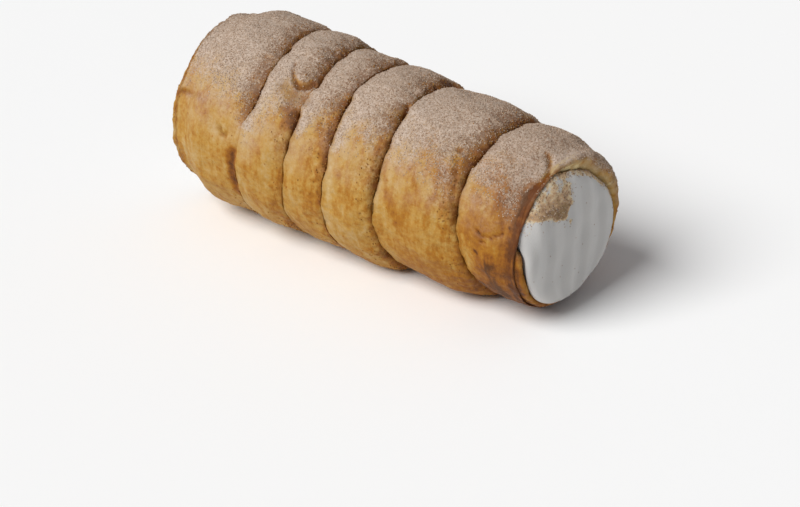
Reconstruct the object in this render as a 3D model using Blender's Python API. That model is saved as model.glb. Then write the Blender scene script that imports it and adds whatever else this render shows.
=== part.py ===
"""Cream horn: one strip of puff pastry wound about six times round a slightly tapered tube and filled with cream.

Lengths are metres and +Z is up. The horn lies on its side along X with its narrow end towards +X, resting on a
small flattened spot under each turn. Angles round the horn start at the top and run down the -Y side first.
Positions along the strip are counted in turns, from 0 where its seam leaves the wide rim.
"""

import math

import bmesh
import bpy

MM = 0.001

# The winding: the strip starts and ends as a wedge, behind the horn, so that both rims are closed rings.
STEPS = 52
SEAM_TURNS = 5.5
SEAM_STEPS = int(SEAM_TURNS * STEPS)
START_ANGLE = math.radians(143)
QUARTERS = 4

# Where the seam crosses each quarter turn. One line for each turn: behind, top, front, underneath.
SEAM_X = tuple(
    x * MM
    for x in (
        (-54.8,)
        + (-44.5, -33.2, -29.5, -33.5)
        + (-26.5, -19.2, -15.8, -18.0)
        + (-11.5, -5.6, -4.3, -3.0)
        + (4.0, 10.6, 11.5, 12.2)
        + (23.0, 35.6, 34.6, 38.6)
        + (46.5, 54.4)
    )
)

# Outer radius at the crown of the strip, quarter turn by quarter turn, with one line for each turn again.
CROWN_RADIUS = tuple(
    r * MM
    for r in (
        (26.0, 26.9, 26.3, 26.2)
        + (26.1, 26.7, 26.3, 26.6)
        + (25.4, 25.7, 25.0, 26.0)
        + (25.2, 25.6, 25.2, 26.0)
        + (25.0, 24.4, 24.2, 24.0)
        + (23.4, 22.8, 22.2, 20.6)
        + (21.6, 21.6, 21.2)
    )
)

# How far each seam lies below the crowns beside it, and how high the lip stands over it.
SEAM_DEPTH = tuple(d * MM for d in (2.0, 2.1, 3.0, 2.7, 2.8, 3.2, 2.0))
LIP_STEP = tuple(s * MM for s in (0.8, 1.1, 1.8, 1.5, 1.6, 2.0, 1.0))
WEDGE_WIDTH = 14.0 * MM

# Across the strip: how far along it each row lies, and how much of the rise or fall it has reached.
RISE_ROWS = ((0.05, 0.34), (0.16, 0.68), (0.34, 0.92))
FALL_ROWS = ((0.60, 0.00), (0.80, 0.14), (0.92, 0.45), (0.985, 0.80), (1.005, 1.00))

# The bore and the two rims.
BORE_RADIUS_WIDE = 20.0 * MM
BORE_RADIUS_NARROW = 17.5 * MM
RIM_RADIUS_WIDE = 23.2 * MM
RIM_RADIUS_NARROW = 20.4 * MM
RIM_SWAY = 0.5 * MM
RIM_SLANT_WIDE = 0.4 * MM
RIM_SLANT_NARROW = 1.6 * MM
RIM_LONG_SIDE = math.radians(300)
RIM_ROUND = 0.9 * MM
BORE_RINGS = 5

# Inside each rim a thinner layer of the strip shows behind a groove. It stands out most low on the front.
LAYER_REACH = 1.9 * MM
LAYER_SINK = 0.5 * MM
LAYER_SIDE = math.radians(115)
GROOVE_DEPTH = 0.8 * MM

# The baked unevenness.
SWAY = 0.30 * MM
RIPPLE = 0.16 * MM

# The spot it rests on.
AXIS_HEIGHTS = tuple(h * MM for h in (25.5, 25.0, 24.2, 23.9, 23.1, 21.9))
REST_EASE = 0.35 * MM

# The cream: a core with a small gap to the pastry, and an end that swells over each rim in upright ridges.
CREAM_GAP = 0.35 * MM
CREAM_LIFT = 0.45 * MM
CREAM_OVERHANG = 0.9 * MM
CREAM_SWELL_WIDE = 1.0 * MM
CREAM_SWELL_NARROW = 2.3 * MM
CREAM_SHOULDER = 5.0
CREAM_RIDGE = 1.5 * MM
RIDGE_SPACING = 6.8 * MM
DOME_RINGS = (0.97, 0.88, 0.76, 0.63, 0.50, 0.37, 0.24, 0.12)
OVERHANG_SIDE = math.radians(215)


def clear_scene():
    """Remove whatever the scene already holds."""
    for thing in list(bpy.data.objects):
        bpy.data.objects.remove(thing, do_unlink=True)


def material(name, colour, roughness):
    """A plain material with one colour."""
    made = bpy.data.materials.new(name)
    made.use_nodes = True
    shader = made.node_tree.nodes["Principled BSDF"]
    shader.inputs["Base Color"].default_value = (*colour, 1.0)
    shader.inputs["Roughness"].default_value = roughness
    shader.inputs["Metallic"].default_value = 0.0
    return made


def crust_material():
    """Baked golden puff pastry."""
    return material("pastry_crust", (0.55, 0.31, 0.10), 0.62)


def cream_material():
    """Off-white whipped cream."""
    return material("whipped_cream", (0.82, 0.78, 0.70), 0.45)


def mix(first, second, share):
    """The value this share of the way from the first to the second."""
    return first + (second - first) * share


def ease(share):
    """A share from 0 to 1 that starts and ends gently."""
    share = min(1.0, max(0.0, share))
    return share * share * (3.0 - 2.0 * share)


def along(values, place):
    """A smooth curve through evenly spaced values, at a place counted in values."""
    place = min(len(values) - 1.0, max(0.0, place))
    at = min(len(values) - 2, int(place))
    share = place - at
    before = values[max(0, at - 1)]
    start = values[at]
    end = values[at + 1]
    after = values[min(len(values) - 1, at + 2)]
    bend = 2.0 * before - 5.0 * start + 4.0 * end - after
    twist = 3.0 * (start - end) + after - before
    return start + 0.5 * share * (end - before + share * (bend + share * twist))


def angle_of(step):
    """Angle round the horn of a step along the strip."""
    return START_ANGLE + math.tau * step / STEPS


def outward(narrow):
    """The direction along X that leads out of this end."""
    return 1.0 if narrow else -1.0


def edge_x(step, narrow):
    """Where the outside of the crust ends along the axis at a rim: each rim leans a little."""
    seam_end = SEAM_STEPS if narrow else 0
    lean = math.cos(angle_of(step) - RIM_LONG_SIDE) - math.cos(angle_of(seam_end) - RIM_LONG_SIDE)
    if narrow:
        return SEAM_X[-1] + RIM_SLANT_NARROW * lean
    return SEAM_X[0] - RIM_SLANT_WIDE * lean


def crest_x(step, narrow):
    """Where the rounded rim reaches furthest along the axis."""
    return edge_x(step, narrow) + outward(narrow) * RIM_ROUND


def rim_radius(step, narrow):
    """Outer radius of a rim, which is a little larger behind than in front."""
    sway = RIM_SWAY * math.cos(angle_of(step) - RIM_LONG_SIDE)
    return (RIM_RADIUS_NARROW if narrow else RIM_RADIUS_WIDE) + sway


def seam_x(step):
    """Where the seam lies along the axis."""
    return along(SEAM_X, QUARTERS * step / STEPS)


def crown_radius(step):
    """Outer radius of the strip at its crown."""
    return along(CROWN_RADIUS, QUARTERS * step / STEPS + QUARTERS - 1)


def bore_radius(x):
    """Radius of the bore, which tapers evenly from the wide rim to the narrow one."""
    share = (x - SEAM_X[0]) / (SEAM_X[-1] - SEAM_X[0])
    return mix(BORE_RADIUS_WIDE, BORE_RADIUS_NARROW, share)


def seam_radius(step):
    """Radius at the bottom of the seam, which starts and ends level with a rim."""
    lower = min(crown_radius(step - STEPS), crown_radius(step))
    bottom = lower - along(SEAM_DEPTH, step / STEPS)
    from_start = ease(2.0 * step / STEPS)
    from_end = ease(2.0 * (SEAM_STEPS - step) / STEPS)
    started = mix(rim_radius(step, False), bottom, from_start)
    return mix(rim_radius(step, True), started, from_end)


def unevenness(x, angle):
    """The gentle sway and ripple of a hand-wound, risen crust."""
    sway = math.sin(2.0 * angle + 55.0 * x) + 0.6 * math.sin(3.0 * angle - 90.0 * x + 1.3)
    ripple = math.sin(7.0 * angle + 310.0 * x) + math.sin(11.0 * angle - 250.0 * x + 0.7)
    return SWAY * sway + RIPPLE * ripple


def rested(height):
    """Height above the table, with the underside settled flat."""
    if height <= -REST_EASE:
        return 0.0
    if height < REST_EASE:
        return (height + REST_EASE) ** 2 / (4.0 * REST_EASE)
    return height


def axis_height(x):
    """Height of the axis: it falls towards the narrow end, so that every turn reaches the table."""
    share = (x - SEAM_X[0]) / (SEAM_X[-1] - SEAM_X[0])
    return along(AXIS_HEIGHTS, share * (len(AXIS_HEIGHTS) - 1))


def placed(x, radius, angle):
    """The point at this place along the axis, radius and angle."""
    height = axis_height(x) + radius * math.cos(angle)
    return (x, -radius * math.sin(angle), rested(height))


def outer_point(x, radius, step):
    """A point of the crust's uneven outside."""
    angle = angle_of(step)
    return placed(x, radius + unevenness(x, angle), angle)


def strip_edges(step):
    """Place and radius of the strip's left and right edges: a seam, or a rim where the strip is a wedge."""
    if step < 0:
        left = (edge_x(step, False), rim_radius(step, False))
    else:
        left = (seam_x(step), seam_radius(step))
    if step + STEPS > SEAM_STEPS:
        right = (edge_x(step, True), rim_radius(step, True))
    else:
        right = (seam_x(step + STEPS), seam_radius(step + STEPS))
    return left, right


def strip_rows(step):
    """Points across one column of the strip, between its edges: up from the left, over the crown, down the lip."""
    (left_x, left_radius), (right_x, right_radius) = strip_edges(step)
    fullness = ease((right_x - left_x) / WEDGE_WIDTH)
    crown = mix(max(left_radius, right_radius), crown_radius(step), fullness)
    lip = right_radius + along(LIP_STEP, step / STEPS + 1.0) * fullness
    rows = []
    for place, share in RISE_ROWS:
        rows.append((mix(left_x, right_x, place), mix(left_radius, crown, share)))
    for place, share in FALL_ROWS:
        rows.append((mix(left_x, right_x, place), mix(crown, lip, share)))
    return [outer_point(x, radius, step) for x, radius in rows]


def wound_strip(mesh):
    """The outside of the strip. Returns its two rims, each a ring of corners in order of angle."""
    seam = [
        mesh.verts.new(outer_point(seam_x(step), seam_radius(step), step))
        for step in range(SEAM_STEPS + 1)
    ]
    wide_rim = [seam[0]]
    narrow_rim = [None] * STEPS
    before = [seam[0]]
    for step in range(1 - STEPS, SEAM_STEPS + 1):
        left, right = strip_edges(step)
        first = seam[step] if step >= 0 else mesh.verts.new(outer_point(*left, step))
        if step < 0:
            wide_rim.append(first)
        if step + STEPS <= SEAM_STEPS:
            last = seam[step + STEPS]
        elif step < SEAM_STEPS:
            last = mesh.verts.new(outer_point(*right, step))
        if step + STEPS >= SEAM_STEPS and step < SEAM_STEPS:
            narrow_rim[step % STEPS] = last
        if step == SEAM_STEPS:
            column = [seam[-1]]
        else:
            column = [first] + [mesh.verts.new(point) for point in strip_rows(step)] + [last]
        join_chains(mesh, before, column)
        before = column
    return wide_rim, narrow_rim


def join_chains(mesh, first, second):
    """Faces between two chains of corners, either of which may be a single corner."""
    for at in range(max(len(first), len(second)) - 1):
        if len(first) == 1:
            corners = (first[0], second[at + 1], second[at])
        elif len(second) == 1:
            corners = (first[at], first[at + 1], second[0])
        else:
            corners = (first[at], first[at + 1], second[at + 1], second[at])
        if len(set(corners)) == len(corners):
            mesh.faces.new(corners)


def join_rings(mesh, first, second):
    """A band of faces between two closed rings."""
    for at in range(STEPS):
        after = (at + 1) % STEPS
        mesh.faces.new((first[at], first[after], second[after], second[at]))


def ring(mesh, point_at):
    """A closed ring of corners, one for each step of a turn."""
    return [mesh.verts.new(point_at(step)) for step in range(STEPS)]


def bore_place(step, share):
    """A place along the bore's wall, this share of the way from the wide rim to the narrow one."""
    return mix(edge_x(step, False), edge_x(step, True), share)


def bore_point(step, share, gap):
    """A point of the bore's wall, or a little inside it."""
    x = bore_place(step, share)
    return placed(x, bore_radius(x) - gap, angle_of(step))


def layer_x(step, narrow):
    """Where the inner layer ends along the axis."""
    low = 0.5 + 0.5 * math.cos(angle_of(step) - LAYER_SIDE)
    return crest_x(step, narrow) + outward(narrow) * mix(-LAYER_SINK, LAYER_REACH, low * low)


def rim_point(step, narrow, share, x):
    """A point of a rim's face, this share of the way through the crust from its bore."""
    return placed(x, mix(bore_radius(x), rim_radius(step, narrow), share), angle_of(step))


def rim_rings(mesh, narrow):
    """The rings of a rim's face from outside in: the lip's crest, the groove and the inner layer."""
    groove = outward(narrow) * GROOVE_DEPTH
    crest = ring(mesh, lambda step: rim_point(step, narrow, 0.85, crest_x(step, narrow)))
    sunk = ring(mesh, lambda step: rim_point(step, narrow, 0.62, crest_x(step, narrow) - groove))
    layer = ring(mesh, lambda step: rim_point(step, narrow, 0.38, layer_x(step, narrow)))
    return [crest, sunk, layer]


def finish(mesh, name, made_of):
    """Turn the faces outwards and make the named object."""
    bmesh.ops.recalc_face_normals(mesh, faces=mesh.faces)
    data = bpy.data.meshes.new(name)
    mesh.to_mesh(data)
    mesh.free()
    data.shade_smooth()
    data.materials.append(made_of)
    thing = bpy.data.objects.new(name, data)
    bpy.context.scene.collection.objects.link(thing)
    return thing


def pastry_shell():
    """The wound crust: its outside, the two rounded rims and the bore."""
    mesh = bmesh.new()
    wide_rim, narrow_rim = wound_strip(mesh)
    rings = [wide_rim] + rim_rings(mesh, False)
    for count in range(BORE_RINGS):
        share = count / (BORE_RINGS - 1)
        rings.append(ring(mesh, lambda step: bore_point(step, share, 0.0)))
    rings += rim_rings(mesh, True)[::-1] + [narrow_rim]
    for first, second in zip(rings, rings[1:]):
        join_rings(mesh, first, second)
    return finish(mesh, "pastry_shell", crust_material())


def mouth_x(step, narrow):
    """Where the cream starts to swell: just clear of the rim and of the layer inside it."""
    crest = crest_x(step, narrow)
    layer = layer_x(step, narrow)
    return (max(crest, layer) if narrow else min(crest, layer)) + outward(narrow) * CREAM_LIFT


def cream_neck_point(step, narrow):
    """A point of the cream as it leaves the bore."""
    x = mouth_x(step, narrow)
    return placed(x, bore_radius(x) - CREAM_GAP, angle_of(step))


def cream_edge(step):
    """How far the cream swells over the rim here: most low down, hardly at all above."""
    low = 0.5 + 0.5 * math.cos(angle_of(step) - OVERHANG_SIDE)
    return CREAM_OVERHANG * mix(0.12, 1.0, low * low)


def ridge_height(side, up):
    """Height of the piped ridges, which run down the end and draw together at its foot."""
    foot = min(0.0, up)
    gather = math.sqrt(1.0 - 0.97 * foot * foot)
    spacing = RIDGE_SPACING / BORE_RADIUS_NARROW * gather
    return CREAM_RIDGE * gather * (0.5 + 0.5 * math.cos(math.tau * side / spacing))


def cream_end_point(step, reach, narrow):
    """A point of the cream's end: reach is 1 at its edge and 0 in the middle."""
    angle = angle_of(step)
    mouth = mouth_x(step, narrow)
    radius = (bore_radius(mouth) - CREAM_GAP + cream_edge(step)) * reach
    middle = 0.5 * (mouth_x(0, narrow) + mouth_x(STEPS // 2, narrow))
    swell = CREAM_SWELL_NARROW if narrow else CREAM_SWELL_WIDE
    ridge = ridge_height(reach * math.sin(angle), reach * math.cos(angle)) * ease(4.0 * (1.0 - reach))
    rise = swell * math.sqrt(1.0 - reach**CREAM_SHOULDER) + ridge
    x = mix(middle, mouth, reach) + outward(narrow) * rise
    return (x, -radius * math.sin(angle), axis_height(mouth) + radius * math.cos(angle))


def cream_rings(mesh, narrow):
    """The rings of one end of the cream, from where it leaves the bore to its middle."""
    rings = [
        ring(mesh, lambda step: cream_neck_point(step, narrow)),
        ring(mesh, lambda step: cream_end_point(step, 1.0, narrow)),
    ]
    for reach in DOME_RINGS:
        rings.append(ring(mesh, lambda step: cream_end_point(step, reach, narrow)))
    return rings


def cream_filling():
    """The cream: one body from end to end, swelling at both."""
    mesh = bmesh.new()
    core = []
    for count in range(BORE_RINGS):
        share = count / (BORE_RINGS - 1)
        core.append(ring(mesh, lambda step: bore_point(step, share, CREAM_GAP)))
    wide = cream_rings(mesh, False)
    narrow = cream_rings(mesh, True)
    rings = wide[::-1] + core + narrow
    for first, second in zip(rings, rings[1:]):
        join_rings(mesh, first, second)
    for end, closed in ((False, wide[-1]), (True, narrow[-1])):
        tip = mesh.verts.new(cream_end_point(0, 0.0, end))
        for at in range(STEPS):
            mesh.faces.new((tip, closed[at], closed[(at + 1) % STEPS]))
    return finish(mesh, "cream_filling", cream_material())


def centre_over_origin(things):
    """Move every corner so that the middle of the whole horn's box stands over the origin."""
    corners = [corner.co for thing in things for corner in thing.data.vertices]
    middle = [0.5 * (min(c[i] for c in corners) + max(c[i] for c in corners)) for i in (0, 1)]
    for corner in corners:
        corner.x -= middle[0]
        corner.y -= middle[1]


def main():
    """Build the horn."""
    clear_scene()
    centre_over_origin([pastry_shell(), cream_filling()])


main()
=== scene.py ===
"""A cream horn: one strip of puff pastry wound round a tube, filled with piped cream and dusted with sugar.

The crust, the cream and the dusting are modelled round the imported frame. Lengths are metres and +Z is up. The
horn lies along X with its narrow end towards +X. Angles round it start at the top and run down the -Y side
first, and places along the strip are counted in turns from where its seam leaves the wide rim.
"""

import logging
import math
from dataclasses import dataclass
from enum import Enum
from typing import Any, Sequence

import bmesh
import bpy
import numpy as np
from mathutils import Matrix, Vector


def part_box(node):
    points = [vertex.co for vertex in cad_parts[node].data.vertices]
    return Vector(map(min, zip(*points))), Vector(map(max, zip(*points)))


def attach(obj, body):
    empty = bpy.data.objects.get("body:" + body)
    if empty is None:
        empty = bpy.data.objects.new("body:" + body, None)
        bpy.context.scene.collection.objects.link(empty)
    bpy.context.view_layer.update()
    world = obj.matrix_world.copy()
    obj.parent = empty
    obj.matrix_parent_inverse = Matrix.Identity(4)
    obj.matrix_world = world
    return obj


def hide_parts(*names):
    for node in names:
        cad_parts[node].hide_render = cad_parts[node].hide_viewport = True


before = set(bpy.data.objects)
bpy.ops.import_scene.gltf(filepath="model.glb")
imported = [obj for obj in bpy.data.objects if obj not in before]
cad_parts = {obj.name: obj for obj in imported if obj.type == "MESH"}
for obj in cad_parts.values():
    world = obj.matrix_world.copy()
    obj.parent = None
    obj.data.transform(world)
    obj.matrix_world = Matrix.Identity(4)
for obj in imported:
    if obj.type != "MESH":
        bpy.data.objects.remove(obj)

Array = np.ndarray
Material = bpy.types.Material
Piece = bpy.types.Object
Range = tuple[float, float, float, float]
Socket = bpy.types.NodeSocket
Tree = bpy.types.NodeTree
Waves = tuple[tuple[float, float, float], ...]

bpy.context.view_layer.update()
LOG = logging.getLogger("cream_horn")
MM = 0.001

MATH, VECTOR_MATH = "ShaderNodeMath", "ShaderNodeVectorMath"
NOISE, MAP_RANGE = "ShaderNodeTexNoise", "ShaderNodeMapRange"
RAMP, BUMP = "ShaderNodeValToRGB", "ShaderNodeBump"
RANDOM, READ = "FunctionNodeRandomValue", "GeometryNodeInputNamedAttribute"
# A node that mixes colours takes its share at place 0 and its colours at 6 and 7, and gives the result at 2.
# One that maps a range takes its value, then the range that it comes from and the range that it goes to.
MIX, COLOURS = "ShaderNodeMix", {"data_type": "RGBA", "out": 2}
SMOOTH = {"interpolation_type": "SMOOTHSTEP"}
INPUT_TYPES = {float: "NodeSocketFloat", int: "NodeSocketInt", Piece: "NodeSocketObject"}


class Slot(Enum):
    """The record's material slots."""

    CRUST = "pastry_crust"
    CREAM = "whipped_cream"


class End(Enum):
    """The two ends of the horn, by the direction along X that leads out of them."""

    WIDE = -1.0
    NARROW = 1.0


def linear(hex_colour: str) -> tuple[float, ...]:
    """Turn an sRGB hex colour that starts with # into linear RGBA with full alpha."""
    values = [int(hex_colour[start : start + 2], 16) / 255 for start in (1, 3, 5)]
    return (*(v / 12.92 if v <= 0.04045 else ((v + 0.055) / 1.055) ** 2.4 for v in values), 1.0)


def add_node(
    tree: Tree, kind: str, sockets: dict, out: int | str = 0, stops: Sequence = (), **settings: Any
) -> Socket | None:
    """Add a node with its settings, and set or link its inputs.

    Args:
        tree: the tree that gets the node.
        kind: the node's type name.
        sockets: for each input, by name or place, a value, the output that feeds it or a list of them.
        out: the output that is wanted, by name or place.
        stops: the places and hex colours of a colour ramp's stops.
        **settings: properties of the node itself.

    Returns:
        The wanted output, or None from a node that ends a tree.
    """
    node = tree.nodes.new(kind)
    for name, value in settings.items():
        setattr(node, name, value)
    for _ in stops[2:]:
        node.color_ramp.elements.new(0.5)
    for index, (place, colour) in enumerate(stops):
        node.color_ramp.elements[index].position = place
        node.color_ramp.elements[index].color = linear(colour)
    for key, value in sockets.items():
        for source in value if isinstance(value, list) else [value]:
            if isinstance(source, Socket):
                tree.links.new(source, node.inputs[key])
            else:
                node.inputs[key].default_value = source
    return node.outputs[out] if node.outputs else None


def wire(tree: Tree, named: dict[str, Any], rows: Sequence[tuple]) -> dict[str, Any]:
    """Add a node for each row, and keep its output under the row's name.

    Args:
        tree: the tree that gets the nodes.
        named: the outputs that rows can name, which gains each row's own.
        rows: for each node, its output's name, its type, its inputs by name or in order and, where it has
            them, its settings or just its operation. A name among its inputs stands for the output that has
            it by then.

    Returns:
        The outputs by name.
    """
    for name, kind, sockets, *more in rows:
        settings = more[0] if more else {}
        settings = {"operation": settings} if isinstance(settings, str) else settings
        sockets = dict(enumerate(sockets)) if isinstance(sockets, tuple) else sockets
        fed = {
            key: [named[one] for one in value] if isinstance(value, list) else named.get(value, value)
            for key, value in sockets.items()
        }
        named[name] = add_node(tree, kind, fed, **settings)
    return named


@dataclass(frozen=True)
class Pattern:
    """A soft noise in a material: its name, the size of its lumps in millimetres and how it is broken up."""

    name: str
    size: float
    detail: float
    roughness: float = 0.5
    warp: float = 0.0
    # The size of its lumps along the horn, as a share of their size round it.
    squeeze: float = 1.0


def start_material(
    name: str, attributes: Sequence[str], patterns: Sequence[Pattern]
) -> tuple[Material, dict[str, Any]]:
    """Start a node material with what its colours and bumps are worked out from.

    Args:
        name: the material's name.
        attributes: the attributes of its piece that it reads.
        patterns: the patterns in it.

    Returns:
        The material, and by name its attributes, its patterns and, as place, its Object coordinates.
    """
    made = bpy.data.materials.new(name)
    made.use_nodes = True
    tree = made.node_tree
    tree.nodes.clear()
    rows = [("place", "ShaderNodeTexCoord", (), {"out": "Object"})]
    rows += [(one, "ShaderNodeAttribute", (), {"out": "Fac", "attribute_name": one}) for one in attributes]
    for one in patterns:
        sockets = {"Vector": "place", "Scale": 1.0 / (one.size * MM), "Detail": one.detail}
        if one.squeeze < 1.0:
            drawn = {"Vector": "place", "Scale": (1.0, one.squeeze, one.squeeze)}
            rows.append(("drawn", "ShaderNodeMapping", drawn))
            sockets["Vector"] = "drawn"
        rows.append((one.name, NOISE, {**sockets, "Roughness": one.roughness, "Distortion": one.warp}))
    return made, wire(tree, {}, rows)


def close_material(made: Material, named: dict[str, Any], rows: Sequence[tuple], sockets: dict) -> Material:
    """Finish a node material.

    Args:
        made: the material.
        named: its outputs by name.
        rows: its remaining nodes, as wire takes them.
        sockets: the inputs of its shader.

    Returns:
        The same material.
    """
    ending = (
        ("shader", "ShaderNodeBsdfPrincipled", sockets),
        ("end", "ShaderNodeOutputMaterial", {"Surface": "shader"}),
    )
    wire(made.node_tree, named, (*rows, *ending))
    return made


def mix(first: Any, second: Any, share: Any) -> Any:
    """The value this share of the way from the first to the second."""
    return first + (second - first) * share


def ease(share: Any) -> Any:
    """A share, held to 0 to 1, that starts and ends gently."""
    share = np.clip(share, 0.0, 1.0)
    return share * share * (3.0 - 2.0 * share)


def hump(place: Any, centre: Any, width: float) -> Any:
    """A smooth hump of height 1 at a centre, fading over a width."""
    return np.exp(-(((place - centre) / width) ** 2))


def plateau(distance: Any, reach: float) -> Any:
    """1 near a place, easing to 0 at this reach from it over the outer half of the way."""
    return ease(2.0 * (1.0 - np.abs(distance) / reach))


def steps(count: int) -> Array:
    """Even shares of a way, without its start and with its end."""
    return np.arange(1, count + 1) / count


def turned(angle: Any) -> Any:
    """An angle brought to between minus and plus half a turn."""
    return np.mod(angle + math.pi, math.tau) - math.pi


def toward(angle: Any, side: float) -> Any:
    """1 on one side of the horn, falling evenly to 0 on the other."""
    return 0.5 + 0.5 * np.cos(angle - side)


def on_side(angle: Any, side: float, reach: float) -> Any:
    """A smooth hump on one side of the horn, fading over a reach of angle."""
    return hump(turned(angle - side), 0.0, reach)


def waver(place: Any, waves: Sequence[tuple[float, float, float]]) -> Any:
    """Add up sine waves, each with its height, its number of waves for each unit of place and its phase."""
    return sum(height * np.sin(math.tau * rate * place + phase) for height, rate, phase in waves)


def along(values: Any, place: Any) -> Array:
    """Follow a smooth curve through evenly spaced values.

    Args:
        values: the values, or rows of values, that the curve passes through.
        place: places along it, counted in values.

    Returns:
        The curve's value, or row of values, at each place.
    """
    table = np.asarray(values, float)
    last = len(table) - 1
    place = np.clip(np.asarray(place, float), 0.0, last)
    at = np.minimum(np.floor(place).astype(int), last - 1)
    share = (place - at).reshape(place.shape + (1,) * (table.ndim - 1))
    before, start, end, after = (table[np.clip(at + step, 0, last)] for step in (-1, 0, 1, 2))
    bend = 2.0 * before - 5.0 * start + 4.0 * end - after
    twist = 3.0 * (start - end) + after - before
    return start + 0.5 * share * (end - before + share * (bend + share * twist))


def quads(grid: Array, closed: bool = False) -> Array:
    """Make faces between the rows and columns of a grid.

    Args:
        grid: its corner numbers.
        closed: whether the last column joins the first.

    Returns:
        A row of four corner numbers for each face.
    """
    grid = np.concatenate([grid, grid[:, :1]], axis=1) if closed else grid
    first, second = grid[:-1], grid[1:]
    return np.stack([first[:, :-1], first[:, 1:], second[:, 1:], second[:, :-1]], axis=-1).reshape(-1, 4)


def mesh_object(name: str, points: Array, faces: list) -> Piece:
    """Make a smooth-shaded closed mesh object at the origin, with its faces outwards.

    Args:
        name: the object's name.
        points: its corners, in metres.
        faces: its faces, as corner numbers.

    Returns:
        The new object, linked to the scene.
    """
    data = bpy.data.meshes.new(name)
    data.from_pydata(points.tolist(), [], faces)
    shape = bmesh.new()
    shape.from_mesh(data)
    bmesh.ops.recalc_face_normals(shape, faces=shape.faces)
    shape.to_mesh(data)
    shape.free()
    data.shade_smooth()
    piece = bpy.data.objects.new(name, data)
    bpy.context.scene.collection.objects.link(piece)
    return piece


def store(piece: Piece, **values: Array) -> None:
    """Store attributes on the corners of a piece.

    Args:
        piece: the piece.
        **values: a number for each corner, by the attribute's name.
    """
    for name, numbers in values.items():
        kept = piece.data.attributes.new(name, "FLOAT", "POINT")
        kept.data.foreach_set("value", np.ascontiguousarray(numbers, np.float32).ravel())


def grown(base: Piece, name: str, values: dict[str, Any], rows: Sequence[tuple], made_of: Material) -> Piece:
    """Build a geometry tree, run it on a copy of an object and keep the result as a plain mesh piece.

    Args:
        base: the object whose mesh goes in, which stays as it is.
        name: the new piece's name.
        values: the tree's named inputs and what each is set to.
        rows: the tree's nodes, as wire takes them, of which the last gives the finished shape.
        made_of: the piece's material.

    Returns:
        The plain piece, at the origin and linked to the scene.
    """
    tree = bpy.data.node_groups.new(f"{name}_tree", "GeometryNodeTree")
    for way in ("INPUT", "OUTPUT"):
        tree.interface.new_socket("Geometry", in_out=way, socket_type="NodeSocketGeometry")
    by_identifier = {}
    for label, value in values.items():
        item = tree.interface.new_socket(label, in_out="INPUT", socket_type=INPUT_TYPES[type(value)])
        by_identifier[item.identifier] = value
    inputs = add_node(tree, "NodeGroupInput", {}).node.outputs
    ending = (
        ("real", "GeometryNodeRealizeInstances", (rows[-1][0],)),
        ("dressed", "GeometryNodeSetMaterial", {0: "real", "Material": made_of}),
        ("end", "NodeGroupOutput", ("dressed",)),
    )
    wire(tree, {socket.name: socket for socket in inputs if socket.name}, (*rows, *ending))
    worker = bpy.data.objects.new(f"{name}_worker", base.data)
    modifier = worker.modifiers.new(tree.name, "NODES")
    modifier.node_group = tree
    for identifier, value in by_identifier.items():
        modifier[identifier] = value
    bpy.context.scene.collection.objects.link(worker)
    bpy.context.view_layer.update()
    graph = bpy.context.evaluated_depsgraph_get()
    data = bpy.data.meshes.new_from_object(worker.evaluated_get(graph), depsgraph=graph)
    data.name = name
    bpy.data.objects.remove(worker, do_unlink=True)
    piece = bpy.data.objects.new(name, data)
    bpy.context.scene.collection.objects.link(piece)
    return piece


def hand_over(piece: Piece, replaces: Sequence[str] = ()) -> None:
    """Tell the frame what a finished piece rides on and stands for, and report it.

    Args:
        piece: the finished piece.
        replaces: the CAD nodes that it stands for.
    """
    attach(piece, "root")
    for node in replaces:
        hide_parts(node)
    LOG.info("%s: %d corners, %d faces", piece.name, len(piece.data.vertices), len(piece.data.polygons))


@dataclass(frozen=True)
class Mark:
    """A tear, a dent, a browned patch or a drift of sugar, drawn as a short line of places on the crust.

    A place is in millimetres along and degrees round. The width and the depth are in millimetres, and the
    strength is how much the mark browns the crust or how much more sugar lies on it.
    """

    places: tuple[tuple[float, float], ...]
    width: float
    strength: float
    depth: float = 0.0

    def nearness(self, x: Array, angle: Array, radius: Array) -> Array:
        """How near each place on the crust lies to the mark.

        Args:
            x: places along the horn.
            angle: angles round it.
            radius: distances from its axis.

        Returns:
            1 on the mark, fading to 0 over its width.
        """
        best = np.full(x.shape, np.inf)
        places = self.places if len(self.places) > 1 else self.places * 2
        for (x0, a0), (x1, a1) in zip(places, places[1:]):
            out_x = x - x0 * MM
            out_a = turned(angle - math.radians(a0)) * radius
            span_x = (x1 - x0) * MM
            span_a = math.radians(a1 - a0) * radius
            length = np.maximum(span_x**2 + span_a**2, 1e-12)
            share = np.clip((out_x * span_x + out_a * span_a) / length, 0.0, 1.0)
            best = np.minimum(best, np.hypot(out_x - span_x * share, out_a - span_a * share))
        return np.exp(-((best / (self.width * MM)) ** 2))


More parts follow.
